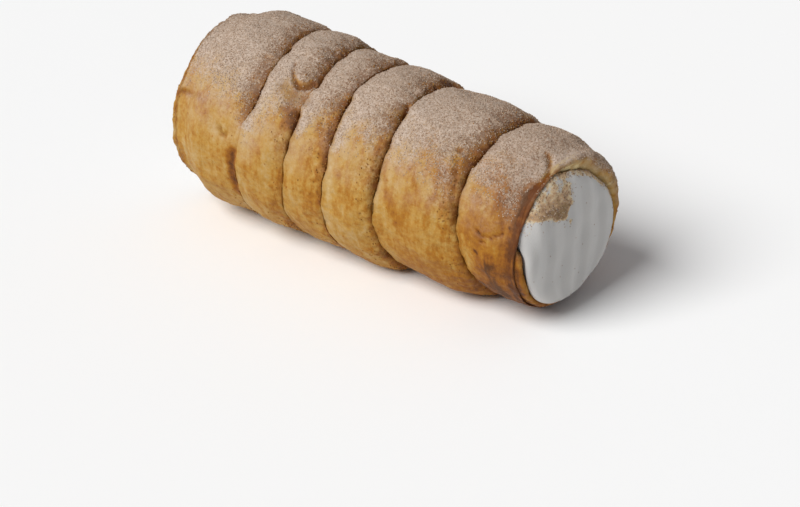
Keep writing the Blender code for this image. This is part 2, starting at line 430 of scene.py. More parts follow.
@dataclass(frozen=True)
class Winding:
    """Where the wound strip runs: its seam, crowns, rims and bore."""

    start_angle: float = math.radians(143)
    seam_turns: float = 5.5
    quarters: int = 4
    # Where the seam crosses each quarter turn, one line for each turn: behind, top, front, underneath.
    seam_x: tuple[float, ...] = (
        (-54.8,)
        + (-44.5, -33.2, -29.5, -33.5)
        + (-26.5, -19.2, -15.8, -18.0)
        + (-11.5, -5.6, -4.3, -3.0)
        + (4.0, 10.6, 11.5, 12.2)
        + (23.0, 35.6, 34.6, 38.6)
        + (46.5, 54.4)
    )
    # Outer radius at the crown, laid out in the same way.
    crown: tuple[float, ...] = (
        (26.0, 26.9, 26.3, 26.2)
        + (26.1, 26.7, 26.3, 26.6)
        + (25.4, 25.7, 25.0, 26.0)
        + (25.2, 25.6, 25.2, 26.0)
        + (25.0, 24.4, 24.2, 24.0)
        + (23.4, 22.8, 22.2, 20.6)
        + (21.6, 21.6, 21.2)
    )
    # For each turn: how high the lip stands over the seam, and how far that lies below the crowns beside it.
    lip_height: tuple[float, ...] = (0.8, 1.05, 1.2, 1.2, 1.3, 1.4, 1.0)
    seam_depth: tuple[float, ...] = (2.0, 2.2, 2.6, 2.5, 2.7, 3.1, 2.2)
    # The share of that depth where the seam is shut, the most of it where it gapes, and the turns over which
    # the seam comes level with a rim.
    shut_depth: float = 0.03
    most_depth: float = 1.1
    level_turns: float = 0.5
    # How far the lip hangs over the crease, and how far the crease opens beside it.
    overhang: float = 0.12 * MM
    opening: float = 0.16 * MM
    # How open the seam is, and how that and, in millimetres, its place along X stray.
    gape: float = 0.82
    gape_waves: Waves = ((0.14, 3.7, 0.3), (0.14, 8.1, 1.9), (0.12, 19.0, 0.2))
    least_gape: float = 0.04
    most_gape: float = 1.25
    seam_waves: Waves = ((0.30, 4.3, 1.1), (0.14, 10.7, 2.0), (0.06, 23.9, 0.4))
    # Over how many turns the seam fades into a rim.
    fade: float = 0.25
    # How far the torn edge of the strip stands in and out, and up and down.
    ragged_out: float = 0.30 * MM
    ragged_up: float = 0.22 * MM
    ragged_waves: Waves = ((0.34, 23.7, 1.3), (0.30, 41.3, 0.4), (0.26, 67.9, 2.1), (0.20, 109.3, 0.9))
    # The strip is full only where it is this wide: beside a rim it thins to a wedge.
    wedge_width: float = 14.0 * MM
    # Stretches where the strip has baked to itself: a place along the seam, a reach in turns and how fully.
    fused: tuple[tuple[float, float, float], ...] = (
        (0.822, 0.055, 0.985),
        (0.900, 0.100, 0.72),
        (1.712, 0.032, 0.85),
        (1.890, 0.120, 0.62),
        (2.900, 0.120, 0.55),
        (3.640, 0.030, 0.45),
        (3.880, 0.090, 0.50),
        (4.900, 0.100, 0.58),
    )
    # The radii of the bore and of the rims, and how the rims sway, slant and round off.
    bore_wide: float = 20.0 * MM
    bore_narrow: float = 17.5 * MM
    rim_radius_wide: float = 23.2 * MM
    rim_radius_narrow: float = 20.4 * MM
    rim_sway: float = 0.5 * MM
    rim_slant_wide: float = 0.4 * MM
    rim_slant_narrow: float = 1.6 * MM
    rim_long_side: float = math.radians(300)
    rim_round: float = 0.9 * MM
    # The thinner layer inside a rim: how far it stands out low on the front, and lies back elsewhere.
    layer_reach: float = 1.9 * MM
    layer_sink: float = 0.5 * MM
    layer_side: float = math.radians(115)
    # The crust is thickest high at the back of the narrow rim. High on its front the cream is at the lip.
    thick_by: float = 2.3 * MM
    thick_side: float = math.radians(-42)
    thick_reach: float = math.radians(40)
    thick_along: float = 7.0 * MM
    pressed_side: float = math.radians(46)
    pressed_reach: float = math.radians(46)
    sway: float = 0.30 * MM
    ripple: float = 0.10 * MM
    # How high the axis lies in millimetres, at even places from rim to rim, and how softly the horn rests.
    axis_heights: tuple[float, ...] = (25.5, 25.0, 24.2, 23.9, 23.1, 21.9)
    rest_ease: float = 0.35 * MM
    # Where the crust starts along the winding's own X, which the frame gives from the middle of the horn.
    crust_start: float = -57.57 * MM

    def shift(self) -> float:
        """How far along X the frame has the winding from its own places."""
        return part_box("pastry_shell")[0].x - self.crust_start

    def angle(self, turns: Array) -> Array:
        """Angle round the horn of a place along the strip."""
        return self.start_angle + math.tau * turns

    def inside_ends(self, turns: Array) -> Array:
        """1 along the seam, easing to 0 where it meets a rim."""
        return ease(turns / self.fade) * ease((self.seam_turns - turns) / self.fade)

    def openness(self, turns: Array) -> Array:
        """How open the seam is, so how far its lip stands clear.

        Args:
            turns: places along the seam.

        Returns:
            About 1 where it gapes and nearly 0 where it has baked shut or met a rim.
        """
        free = self.gape + waver(turns, self.gape_waves)
        for centre, reach, fully in self.fused:
            free = free * (1.0 - fully * plateau(turns - centre, reach))
        return np.clip(free, self.least_gape, self.most_gape) * self.inside_ends(turns)

    def ragged(self, turns: Array, phase: float) -> Array:
        """How the torn edge of the strip strays, from about -1 to 1."""
        waves = [(height, rate, start + phase) for height, rate, start in self.ragged_waves]
        return waver(turns + 0.01 * phase, waves)

    def seam_place(self, turns: Array) -> Array:
        """Where the seam lies along X, with the small waver of a strip laid by hand."""
        run = along(self.seam_x, self.quarters * np.clip(turns, 0.0, self.seam_turns)) * MM
        return run + waver(turns, self.seam_waves) * MM * self.inside_ends(turns)

    def crown_radius(self, turns: Array) -> Array:
        """Outer radius of the strip at its crown."""
        return along(self.crown, self.quarters * turns + self.quarters - 1) * MM

    def seam_radius(self, turns: Array) -> Array:
        """How far from the axis the bottom of the seam lies, which starts and ends level with a rim.

        Args:
            turns: places along the seam.

        Returns:
            The radius at each place.
        """
        lower = np.minimum(self.crown_radius(turns - 1.0), self.crown_radius(turns))
        gaping = mix(self.shut_depth, 1.0, np.minimum(self.openness(turns), self.most_depth))
        depth = along(self.seam_depth, turns) * MM * gaping
        started = mix(self.rim_radius(turns, End.WIDE), lower - depth, ease(turns / self.level_turns))
        left = ease((self.seam_turns - turns) / self.level_turns)
        return mix(self.rim_radius(turns, End.NARROW), started, left)

    def rim_edge(self, turns: Array, end: End) -> Array:
        """Where the outside of the crust ends at a rim, which leans a little.

        Args:
            turns: places along the strip.
            end: which rim.

        Returns:
            The place along X at each.
        """
        narrow = end is End.NARROW
        seam_end = self.angle(np.float64(self.seam_turns if narrow else 0.0))
        lean = np.cos(self.angle(turns) - self.rim_long_side) - np.cos(seam_end - self.rim_long_side)
        place = self.seam_x[-1] if narrow else self.seam_x[0]
        return place * MM + (self.rim_slant_narrow if narrow else -self.rim_slant_wide) * lean

    def rim_crest(self, turns: Array, end: End) -> Array:
        """Where the rounded rim reaches furthest along X."""
        return self.rim_edge(turns, end) + end.value * self.rim_round

    def rim_radius(self, turns: Array, end: End) -> Array:
        """Outer radius of a rim."""
        base = self.rim_radius_narrow if end is End.NARROW else self.rim_radius_wide
        return base + self.rim_sway * np.cos(self.angle(turns) - self.rim_long_side)

    def layer_edge(self, turns: Array, end: End) -> Array:
        """Where the thinner layer inside a rim ends along X. It stands out most low on the front."""
        low = toward(self.angle(turns), self.layer_side)
        return self.rim_crest(turns, end) + end.value * mix(-self.layer_sink, self.layer_reach, low * low)

    def low_front(self, angle: Array) -> Array:
        """1 low on the front, where the layer inside a rim shows, easing to 0 across from there."""
        return ease(1.5 * toward(angle, self.layer_side))

    def pressed(self, turns: Array, end: End) -> Array:
        """Where the cream is pressed up to the lip of a rim, which is high on the front of the narrow one.

        Args:
            turns: places along the strip.
            end: which rim.

        Returns:
            1 there, easing to 0 elsewhere.
        """
        if end is End.WIDE:
            return 0.0 * turns
        return plateau(turned(self.angle(turns) - self.pressed_side), self.pressed_reach)

    def bore_radius(self, x: Array, turns: Array) -> Array:
        """Radius of the bore, which tapers to the narrow rim and is tightest where the crust is thick.

        Args:
            x: places along the horn.
            turns: places along the strip, which give the angles round it.

        Returns:
            The radius at each place.
        """
        even = mix(self.bore_wide, self.bore_narrow, self.share_along(x))
        thick = on_side(self.angle(turns), self.thick_side, self.thick_reach)
        near = ease(1.0 - (self.seam_x[-1] * MM - x) / self.thick_along)
        return even - self.thick_by * thick * near

    def share_along(self, x: Array) -> Array:
        """How much of the way from the wide rim to the narrow one a place along X is."""
        return (x / MM - self.seam_x[0]) / (self.seam_x[-1] - self.seam_x[0])

    def axis_height(self, x: Array) -> Array:
        """Height of the horn's axis, which falls towards the narrow end."""
        return along(self.axis_heights, self.share_along(x) * (len(self.axis_heights) - 1)) * MM

    def unevenness(self, x: Array, angle: Array) -> Array:
        """How the surface of a hand-wound, risen crust sways and ripples.

        Args:
            x: places along the horn.
            angle: angles round it.

        Returns:
            How far each place stands out or in.
        """
        sway = np.sin(2.0 * angle + 55.0 * x) + 0.6 * np.sin(3.0 * angle - 90.0 * x + 1.3)
        ripple = np.sin(7.0 * angle + 310.0 * x) + np.sin(11.0 * angle - 250.0 * x + 0.7)
        return self.sway * sway + self.ripple * ripple

    def rested(self, height: Array) -> Array:
        """Height above the table, with the underside settled flat."""
        settled = (height + self.rest_ease) ** 2 / (4.0 * self.rest_ease)
        return np.where(height <= -self.rest_ease, 0.0, np.where(height < self.rest_ease, settled, height))

    def placed(self, x: Array, radius: Array, angle: Array) -> Array:
        """Points in the frame.

        Args:
            x: places along the winding's own X.
            radius: distances from its axis.
            angle: angles round it.

        Returns:
            The points, with their three coordinates along the last axis.
        """
        height = self.axis_height(x) + radius * np.cos(angle)
        return np.stack([x + self.shift(), -radius * np.sin(angle), self.rested(height)], axis=-1)


@dataclass(frozen=True)
class Section:
    """The strip's section from its left seam to its right one, for every column of the strip at once."""

    # Rows of corners up the crease's wall, up and over the crown, down to the lip and under it.
    wall_rows: int = 5
    rise_rows: int = 11
    crown_rows: int = 5
    fall_rows: int = 12
    lip_rows: int = 6
    # The crown's start and end across the strip, as shares of its width, and how round its shoulders are.
    rise_share: float = 0.44
    fall_start: float = 0.55
    roundness: float = 2.1
    # How soon a rise is full and round, and how soon the lip parts from the crust below, as a seam opens.
    round_by: float = 1.6
    part_by: float = 3.0
    # How the rows crowd towards the seams.
    rise_pace: float = 1.6
    fall_pace: float = 1.7
    least_lip: float = 0.10
    # The far wall of the crease leans by this share of the strip's width, and is this high beside the lip.
    wall_lean: float = 0.010
    wall_height: float = 0.9
    shut_run: float = 0.45 * MM

    @property
    def rows(self) -> int:
        """How many rows of corners lie between the two seams."""
        return self.wall_rows + self.rise_rows + self.crown_rows + self.fall_rows + self.lip_rows

    def rounded(self, share: Array, openness: Array) -> Array:
        """How much of a rise is reached: a steep round at an open seam and a soft slope at a shut one."""
        full = (1.0 - (1.0 - share) ** self.roundness) ** (1.0 / self.roundness)
        return mix(ease(share), full, np.clip(self.round_by * openness, 0.0, 1.0))

    def across(self, winding: Winding, turns: Array) -> dict[str, Array]:
        """Work out the section's corners.

        Args:
            winding: where the strip runs.
            turns: the place along the strip of each column.

        Returns:
            By name, arrays with a row for each column: x, radius, how far left and right the seams are and
            how open each is.
        """
        turns = turns[:, None]
        from_seam = turns >= 0.0
        to_seam = turns + 1.0 <= winding.seam_turns
        after = turns + 1.0
        left_x = np.where(from_seam, winding.seam_place(turns), winding.rim_edge(turns, End.WIDE))
        left_r = np.where(from_seam, winding.seam_radius(turns), winding.rim_radius(turns, End.WIDE))
        right_x = np.where(to_seam, winding.seam_place(after), winding.rim_edge(turns, End.NARROW))
        right_r = np.where(to_seam, winding.seam_radius(after), winding.rim_radius(turns, End.NARROW))
        left_open = np.where(from_seam, winding.openness(turns), 0.0)
        right_open = np.where(to_seam, winding.openness(after), 0.0)
        width = right_x - left_x
        fullness = ease(width / winding.wedge_width)
        crown = mix(np.maximum(left_r, right_r), winding.crown_radius(turns), fullness)
        left_lip = along(winding.lip_height, turns) * MM * left_open
        right_lip = along(winding.lip_height, after) * MM * right_open

        # Up the far wall of the crease on the left, which leans away from the lip above it.
        v = steps(self.wall_rows)
        lean = winding.overhang * left_open * (1.0 - (1.0 - v) ** 2)
        wall_x = left_x + lean + (winding.opening * left_open + self.wall_lean * width) * v
        least = self.least_lip * (crown - left_r) * np.clip(self.part_by * left_open, 0.0, 1.0)
        wall_top = np.maximum(left_lip * self.wall_height, least)
        wall_r = left_r + wall_top * v

        # Over the crown.
        v = steps(self.rise_rows)
        rise_end = left_x + self.rise_share * width
        rise_x = mix(wall_x[:, -1:], rise_end, v**self.rise_pace)
        rise_r = mix(left_r + wall_top, crown, self.rounded(v**self.rise_pace, left_open))
        v = steps(self.crown_rows)
        fall_x = left_x + self.fall_start * width
        crown_x = mix(rise_end, fall_x, v)
        crown_r = crown + 0.0 * v

        # Down to the lip on the right, and under it to the next seam.
        v = steps(self.fall_rows)
        torn = np.clip(right_open, 0.0, 1.0)
        parted = np.clip(self.part_by * right_open, 0.0, 1.0)
        lip_x = right_x + winding.overhang * right_open - self.shut_run * (1.0 - parted)
        lip_x = lip_x + winding.ragged_out * torn * winding.ragged(turns, 0.0)
        lip_r = right_r + np.maximum(right_lip, self.least_lip * (crown - right_r) * parted)
        lip_r = lip_r + winding.ragged_up * torn * winding.ragged(turns, 2.0)
        down = 1.0 - (1.0 - v) ** self.fall_pace
        slope_x = mix(fall_x, lip_x, down)
        slope_r = mix(crown, lip_r, 1.0 - self.rounded(1.0 - down, right_open))
        v = np.arange(1, self.lip_rows + 1) / (self.lip_rows + 1)
        under_x = mix(lip_x, right_x, mix(v, v**2, parted))
        under_r = mix(lip_r, right_r, v)

        x = np.concatenate([wall_x, rise_x, crown_x, slope_x, under_x], axis=1)
        radius = np.concatenate([wall_r, rise_r, crown_r, slope_r, under_r], axis=1)
        return {
            "x": x,
            "radius": radius,
            "left": np.where(from_seam, x - left_x, 1.0),
            "right": np.where(to_seam, right_x - x, 1.0),
            "left_open": left_open + 0.0 * x,
            "right_open": right_open + 0.0 * x,
        }


@dataclass(frozen=True)
class SugaredPastry:
    """Baked puff pastry, brushed with egg and dusted with cinnamon sugar.

    The egg wash bakes to a satin gold that runs from butter yellow, where a turn lay under the one before it,
    to brown on the lips that stood out to the heat. The sugar settles on whatever faces up as a dull, pinkish
    grey film.
    """

    # The row of tones starts a little below the baked ones, where raw dough shows pale. At the top of the
    # narrow rim that pale tone is partly a painted highlight.
    tones: tuple[tuple[float, str], ...] = (
        (0.0, "#D6C08C"),
        (0.2, "#B99A66"),
        (0.44, "#B0863E"),
        (0.616, "#A06A1C"),
        (0.808, "#8A5213"),
        (0.976, "#5A3512"),
    )
    raw_share: float = 0.2
    # Painted shade: the dark brown that creases, tears and grooves are darkened towards, and how far.
    crease: str = "#5E300C"
    crease_share: float = 0.72
    film_tones: tuple[tuple[float, str], ...] = ((0.28, "#8A6F5B"), (0.56, "#B09B89"), (0.90, "#C2B0A1"))
    patterns: tuple[Pattern, ...] = (
        Pattern("blotch", 6.0, 3.0),
        Pattern("mottle", 1.45, 4.0, 0.62),
        Pattern("streak", 1.9, 3.0, warp=0.4, squeeze=1.9 / 11.0),
        Pattern("freckle", 1.5, 1.0),
        # Sugar ground for dusting is about 0.2 mm across; it is drawn at twice that, so that it shows.
        Pattern("grain", 0.42, 2.0, 0.7),
        Pattern("drift", 4.5, 4.0, 0.6),
        Pattern("flake", 0.8, 5.0, 0.65),
        # Thin baked leaves lift in short lines that run round the horn.
        Pattern("leaf", 0.9, 4.0, 0.7, 0.7, 0.9 / 4.5),
    )
    speck_mm: float = 1.15 * 0.42
    # Which part of a pattern or a measure shows, and what its ends become: the freckles on the crust, the
    # crumbs and painted shade beside a seam in the film, the film itself, and a thin veil of fine sugar with
    # its patches.
    freckle_range: Range = (0.71, 0.82, 0.0, 0.26)
    crumb_range: Range = (0.44, 0.60, 0.25, 1.0)
    cover_range: Range = (0.46, 0.88, 0.0, 0.96)
    veil_range: Range = (0.10, 0.55, 0.0, 0.34)
    patch_range: Range = (0.36, 0.62, 0.25, 1.3)
    # How strongly blotches, streaks and mottle break up the browning. Mottle is stronger beside a seam.
    blotched: float = 0.75
    streaked: float = 0.68
    mottled: float = 0.74
    mottled_beside: float = 0.50
    # How pale the film is by its grain and its specks, and how it darkens beside a seam, with crumbs and
    # painted shade, and on brown crust, which starts at this tone.
    shade_from: float = 0.34
    grain_shade: float = 0.90
    speck_shade: float = 0.42
    beside_shade: float = -0.85
    baked_shade: float = -0.62
    blotch_shade: float = 0.35
    # How the film's cover follows drifts and grain, and how it thins in a crease and on brown crust, which
    # for this starts at another tone.
    thin_from: float = 0.36
    drift_cover: float = 0.65
    grain_cover: float = 0.45
    baked_cover: float = -0.35
    crease_cover: float = -0.18
    crease_broken: float = 0.55
    leaf_share: float = 0.9
    flake_height: float = 0.22 * MM
    film_height: float = 0.16 * MM
    satin: float = 0.52
    dull: float = 0.88
    mottle_dull: float = 0.12
    gloss_index: float = 1.46
    gloss: float = 0.24

    def material(self) -> Material:
        """Build the node material, which reads the crust's own attributes and Object coordinates.

        Returns:
            The material.
        """
        attributes = ("baked", "crease", "upward", "flank")
        made, named = start_material("egg_washed_puff_pastry", attributes, self.patterns)
        uneven = ("blotch", "streak", "mottle", "grain", "drift")
        cells = {"Vector": "place", "Scale": 1.0 / (self.speck_mm * MM)}
        rows = (
            *((f"{one}_off", MATH, (one, 0.5), "SUBTRACT") for one in uneven),
            # Browning: the baked tone, broken up by blotches, streaks, fine mottle and freckles.
            ("tone", MATH, ("blotch_off", self.blotched, "baked"), "MULTIPLY_ADD"),
            ("tone", MATH, ("streak_off", self.streaked, "tone"), "MULTIPLY_ADD"),
            ("mottled", MATH, ("flank", self.mottled_beside, self.mottled), "MULTIPLY_ADD"),
            ("tone", MATH, ("mottle_off", "mottled", "tone"), "MULTIPLY_ADD"),
            ("freckle", MAP_RANGE, ("freckle", *self.freckle_range)),
            ("tone", MATH, ("tone", "freckle"), "ADD"),
            ("tone", MATH, ("tone", 1.0 - self.raw_share, self.raw_share), "MULTIPLY_ADD"),
            ("pastry", RAMP, ("tone",), {"stops": self.tones}),
            # Sugar: a film of pale and brown specks, thicker the more a place faces up. Beside a seam it is
            # darker
            # in patches a millimetre or two across: thin brown crumbs, and painted shade of the seam.
            ("cell", "ShaderNodeTexVoronoi", cells, {"out": "Color"}),
            ("speck", "ShaderNodeSeparateColor", ("cell",)),
            ("speck", MATH, ("speck", self.speck_shade), "MULTIPLY"),
            ("shade", MATH, ("grain", self.grain_shade, "speck"), "MULTIPLY_ADD"),
            ("crumbs", MAP_RANGE, ("mottle", *self.crumb_range)),
            ("beside", MATH, ("flank", "crumbs"), "MULTIPLY"),
            ("shade", MATH, ("beside", self.beside_shade, "shade"), "MULTIPLY_ADD"),
            ("browner", MATH, ("baked", self.shade_from), "SUBTRACT"),
            ("shade", MATH, ("browner", self.baked_shade, "shade"), "MULTIPLY_ADD"),
            ("shade", MATH, ("blotch_off", self.blotch_shade, "shade"), "MULTIPLY_ADD"),
            ("film", RAMP, ("shade",), {"stops": self.film_tones}),
            ("cover", MATH, ("drift_off", self.drift_cover, "upward"), "MULTIPLY_ADD"),
            ("cover", MATH, ("grain_off", self.grain_cover, "cover"), "MULTIPLY_ADD"),
            ("browner", MATH, ("baked", self.thin_from), "SUBTRACT"),
            ("cover", MATH, ("browner", self.baked_cover, "cover"), "MULTIPLY_ADD"),
            ("cover", MATH, ("crease", self.crease_cover, "cover"), "MULTIPLY_ADD"),
            ("cover", MAP_RANGE, ("cover", *self.cover_range), SMOOTH),
            # The veil reaches further down than the film.
            ("veil", MAP_RANGE, ("upward", *self.veil_range)),
            ("patchy", MAP_RANGE, ("drift", *self.patch_range)),
            ("veil", MATH, ("veil", "patchy"), "MULTIPLY"),
            ("cover", MATH, ("cover", "veil"), "MAXIMUM"),
            ("body", MIX, {0: "cover", 6: "pastry", 7: "film"}, COLOURS),
            # Painted shade: the crease mask darkens the colour towards that dark brown, broken up by mottle.
            ("shut", MATH, ("crease", self.crease_share), "MULTIPLY"),
            ("broken", MATH, ("mottle", self.crease_broken), "ADD"),
            ("shut", MATH, ("shut", "broken"), {"operation": "MULTIPLY", "use_clamp": True}),
            ("colour", MIX, {0: "shut", 6: "body", 7: linear(self.crease)}, COLOURS),
            # Relief: baked flakes and leaves, and the grain of the film where it lies.
            ("flake", MATH, ("leaf", self.leaf_share, "flake"), "MULTIPLY_ADD"),
            ("lift", MATH, ("grain", "cover"), "MULTIPLY"),
            ("lift", MATH, ("lift", self.film_height), "MULTIPLY"),
            ("lift", MATH, ("flake", self.flake_height, "lift"), "MULTIPLY_ADD"),
            ("relief", BUMP, {"Height": "lift", "Strength": 1.0, "Distance": 1.0}),
            ("rough", MATH, ("cover", self.dull - self.satin, self.satin), "MULTIPLY_ADD"),
            ("rough", MATH, ("mottle", self.mottle_dull, "rough"), "MULTIPLY_ADD"),
        )
        sockets = {"Base Color": "colour", "Roughness": "rough", "Normal": "relief"}
        sockets |= {"IOR": self.gloss_index, "Specular IOR Level": self.gloss}
        return close_material(made, named, rows, sockets)


@dataclass
class Crust:
    """The wound and baked strip: its outside, its two rims and the wall of the bore."""

    winding: Winding
    section: Section = Section()
    per_turn: int = 336
    bore_shares: tuple[float, ...] = (0.03, 0.35, 0.65, 0.86, 0.93, 0.97)
    rim_rings: int = 13
    # How wavy the rims are: frilled by baking, in waves round them.
    rim_frill: float = 0.6 * MM
    frill_waves: Waves = ((0.20, 9.0, 0.3), (0.16, 17.0, 1.7), (0.12, 31.0, 0.9))
    groove_depth: float = 0.8 * MM
    # How far a plump round rim stands out and the gap beside the pressed lip goes in, low and high on it.
    plump: float = 2.1 * MM
    gap_low: float = 0.7 * MM
    gap_high: float = 3.0 * MM
    # High on the narrow rim the gap beside the lip closes, over this stretch of angle.
    gap_from: float = math.radians(8)
    gap_fade: float = math.radians(22)
    # Reaches of the pale band right of a seam, of the brown lip left of it and of the painted shade in the
    # crease.
    pale_reach: float = 5.0 * MM
    lip_reach: float = 2.9 * MM
    crease_reach: float = 1.15 * MM
    flank_reach: float = 1.6 * 2.9 * MM
    # How much paler that band is, how much browner the lip is, and how the lip's browning strays.
    pale_by: float = 0.17
    lip_by: float = 0.26
    lip_stray: float = 0.75
    lip_waves: Waves = ((0.22, 1.7, 0.2), (0.18, 4.9, 1.4), (0.10, 11.3, 2.2))
    # How much darker the underside is at the wide end and at the narrow one, and the turns between the two:
    # partly browning where it lay on the tray, and partly painted shade.
    under_by: tuple[float, float] = (0.03, 0.24)
    under_from: float = 3.8
    under_turns: float = 2.0
    # How dark the painted shade in the crease is on the side under the lip and on the lip itself, and how dark
    # the painted shade in a tear is.
    crease_under: float = 0.70
    crease_lip: float = 0.85
    torn_shade: float = 0.95
    torn_depth: float = 1.1 * MM
    # Low on the front, and where the cream is pressed up to it, the narrow rim's own lip gets painted shade as
    # dark as a seam's, over this reach.
    rim_shade: float = 0.75
    rim_shade_reach: float = 1.5 * MM
    # How dark the painted shade on the wall of the bore is, a line round the cream, and how much of that the
    # pale edge takes off.
    bore_shade: float = 0.45
    bore_bare: float = 0.8
    # The faces of the rims, wide and narrow: their tones where they are plump and where the layer shows, how
    # much browner the groove beside the layer is, partly as painted shade, and how much of a seam's roughness
    # they have.
    plump_tones: tuple[float, float] = (0.04, 0.34)
    layer_tones: tuple[float, float] = (0.16, 0.50)
    groove_tones: tuple[float, float] = (0.22, 0.55)
    rim_flank: tuple[float, float] = (0.4, 0.12)
    # Where the groove lies across a face, and the painted shade in it.
    groove_share: float = 0.88
    groove_shade: float = 0.9
    leaves: float = 0.20
    # Where the narrow face's pale inner edge ends, and the sugar that caught on it and on its layer.
    pale_inside: float = 0.12
    pale_fade: float = 0.4
    rim_drift: float = 0.46
    layer_drift: float = 0.28
    layer_share: float = 0.78
    # Where the strip ends at the top of that face, its cut edge is pale over this stretch of angle: partly
    # unbrowned dough, and partly a painted highlight on the rounded edge.
    rim_pale: float = 0.75
    rim_bare: float = 0.42
    pale_side: float = math.radians(8)
    pale_spread: float = math.radians(24)
    # Tears and dents.
    marks: tuple[Mark, ...] = (
        Mark(((-54.6, 63), (-52.6, 62)), 0.8, 0.15, 0.60),
        Mark(((-52.0, 62), (-49.5, 62), (-46.8, 61)), 0.7, 0.12, 0.30),
        Mark(((-37.9, 72), (-37.0, 75), (-36.2, 77)), 0.55, 0.25, 0.75),
        Mark(((-35.4, 77), (-34.6, 74), (-34.4, 71)), 0.45, 0.20, 0.60),
        Mark(((-24.6, 22), (-23.6, 27), (-22.0, 31)), 0.45, 0.15, 0.9),
        Mark(((-21.6, 32), (-19.6, 35), (-17.8, 33), (-16.6, 29)), 0.60, 0.20, 1.5),
        Mark(((-23.0, 38), (-19.0, 42), (-16.4, 40)), 2.60, 0.0, 0.55),
        Mark(((10.9, 20), (11.3, 24), (11.6, 28)), 0.6, 0.3, 1.3),
        Mark(((10.6, -17), (9.6, -34)), 1.1, 0.6, 1.4),
        Mark(((30.6, 33), (31.6, 41), (32.6, 50), (33.4, 60), (34.2, 70)), 0.38, 0.10, 0.8),
        Mark(((41.6, 75), (42.8, 78)), 0.32, 0.30, 0.55),
        Mark(((43.6, 79), (45.0, 77), (46.0, 78)), 0.30, 0.30, 0.40),
        Mark(((46.8, 76), (48.6, 72)), 0.30, 0.25, 0.55),
        Mark(((43.4, 83), (44.4, 82)), 0.35, 0.25, 0.45),
        Mark(((41.8, 92),), 0.5, 0.7, 0.5),
        Mark(((-32.2, 84), (-32.9, 94), (-33.3, 108)), 0.9, 0.15, 0.6),
        Mark(((53.2, 26), (52.4, 18), (51.1, 11), (49.8, 7)), 0.65, 0.30, 0.9),
        Mark(((51.7, 62), (51.5, 48), (51.8, 36), (52.7, 27)), 0.65, 0.55, 0.5),
    )
    # Patches that took more heat, or less where the strength is below 0.
    patches: tuple[Mark, ...] = (
        Mark(((-18.6, 50), (-16.8, 56)), 1.8, 0.45),
        Mark(((51.6, 44), (52.2, 66), (52.2, 90), (52.0, 118)), 2.6, 0.46),
        Mark(((46.2, 92), (47.2, 106)), 1.5, 0.14),
        Mark(((43.4, 98), (44.4, 118)), 1.6, 0.12),
        Mark(((-32.6, 26), (-31.4, 52), (-31.0, 64)), 1.9, 0.30),
        Mark(((44.0, 122), (48.0, 136)), 4.0, 0.10),
        Mark(((32.0, -6), (36.0, -16)), 2.2, 0.30),
        Mark(((13.0, 58), (15.5, 76), (19.0, 92)), 1.1, 0.22),
        Mark(((21.4, 54), (23.6, 64)), 1.3, 0.26),
        Mark(((-32.4, 84), (-33.0, 96), (-33.4, 112)), 1.7, 0.42),
        # Pale at the top of the narrow rim: partly unbrowned dough, and partly a painted highlight.
        Mark(((53.4, 20), (53.2, 8), (54.4, -8)), 2.6, -0.70),
        Mark(((44.0, 38), (47.0, 52)), 4.2, 0.14),
        Mark(((24.0, 42), (29.0, 52)), 3.8, 0.16),
        Mark(((-50.0, 58), (-44.0, 62)), 4.0, 0.10),
        Mark(((-19.3, 95), (-20.2, 120)), 1.5, 0.18),
    )
    # Places where more sugar has drifted, or less.
    drifts: tuple[Mark, ...] = (
        Mark(((-31.0, 48), (-29.0, 66), (-28.2, 82)), 3.4, 0.26),
        Mark(((-14.0, 44), (-13.6, 60)), 2.4, 0.14),
        Mark(((-1.6, 48), (-1.4, 62)), 2.0, 0.12),
        Mark(((29.5, 52), (31.0, 64)), 3.2, 0.16),
        Mark(((47.6, 34), (48.4, 46), (48.8, 58)), 2.4, 0.22),
        Mark(((51.6, 34), (52.0, 48), (52.2, 64)), 2.2, -0.28),
        Mark(((53.8, 20), (53.8, 8), (55.0, -6)), 1.8, -0.55),
    )
    # How brown each turn is, from where the strip starts to where it ends.
    turn_tones: tuple[float, ...] = (0.25, 0.29, 0.33, 0.41, 0.34, 0.40, 0.58, 0.58)
    # How far a place faces up where sugar starts to lie and where it lies thickest, and what a rim and a tear
    # take off that.
    dusted_from: float = 0.42
    dusted_fully: float = 0.86
    rim_less: float = 0.12
    torn_less: float = 0.15
    torn_from: float = 0.6 * MM
    # How the grains of sugar thicken with the film and thin in a crease and beside a seam, and how the
    # cinnamon lies evenly, beside a seam and in a crease. Crumbs lie beside a seam.
    sugar_pace: float = 1.4
    crease_sugar: float = 0.7
    flank_sugar: float = 0.6
    cinnamon: tuple[float, float, float] = (0.35, 1.7, 0.6)
    crumbs: float = 1.6
    # The risen dough's blisters and wrinkles, how much more of them a torn edge has, and the height off the
    # table at which they stand in full.
    relief: tuple[tuple[str, float], ...] = (
        ("Blister Size", 5.5 * MM),
        ("Blister Height", 1.1 * MM),
        ("Wrinkle Size", 1.5 * MM),
        ("Wrinkle Height", 0.60 * MM),
        ("Torn Edge", 0.9),
        ("Rest Height", 2.0 * MM),
    )

    def __post_init__(self) -> None:
        """Count the columns and number every corner of the strip."""
        self.seam_steps = int(self.winding.seam_turns * self.per_turn)
        self.columns = np.arange(1 - self.per_turn, self.seam_steps)
        self.seam_ids = np.arange(self.seam_steps + 1)
        wide = self.seam_steps + np.arange(self.per_turn)
        narrow = wide[-1] + np.arange(self.per_turn)
        inner = narrow[-1] + 1 + np.arange(len(self.columns) * self.section.rows)
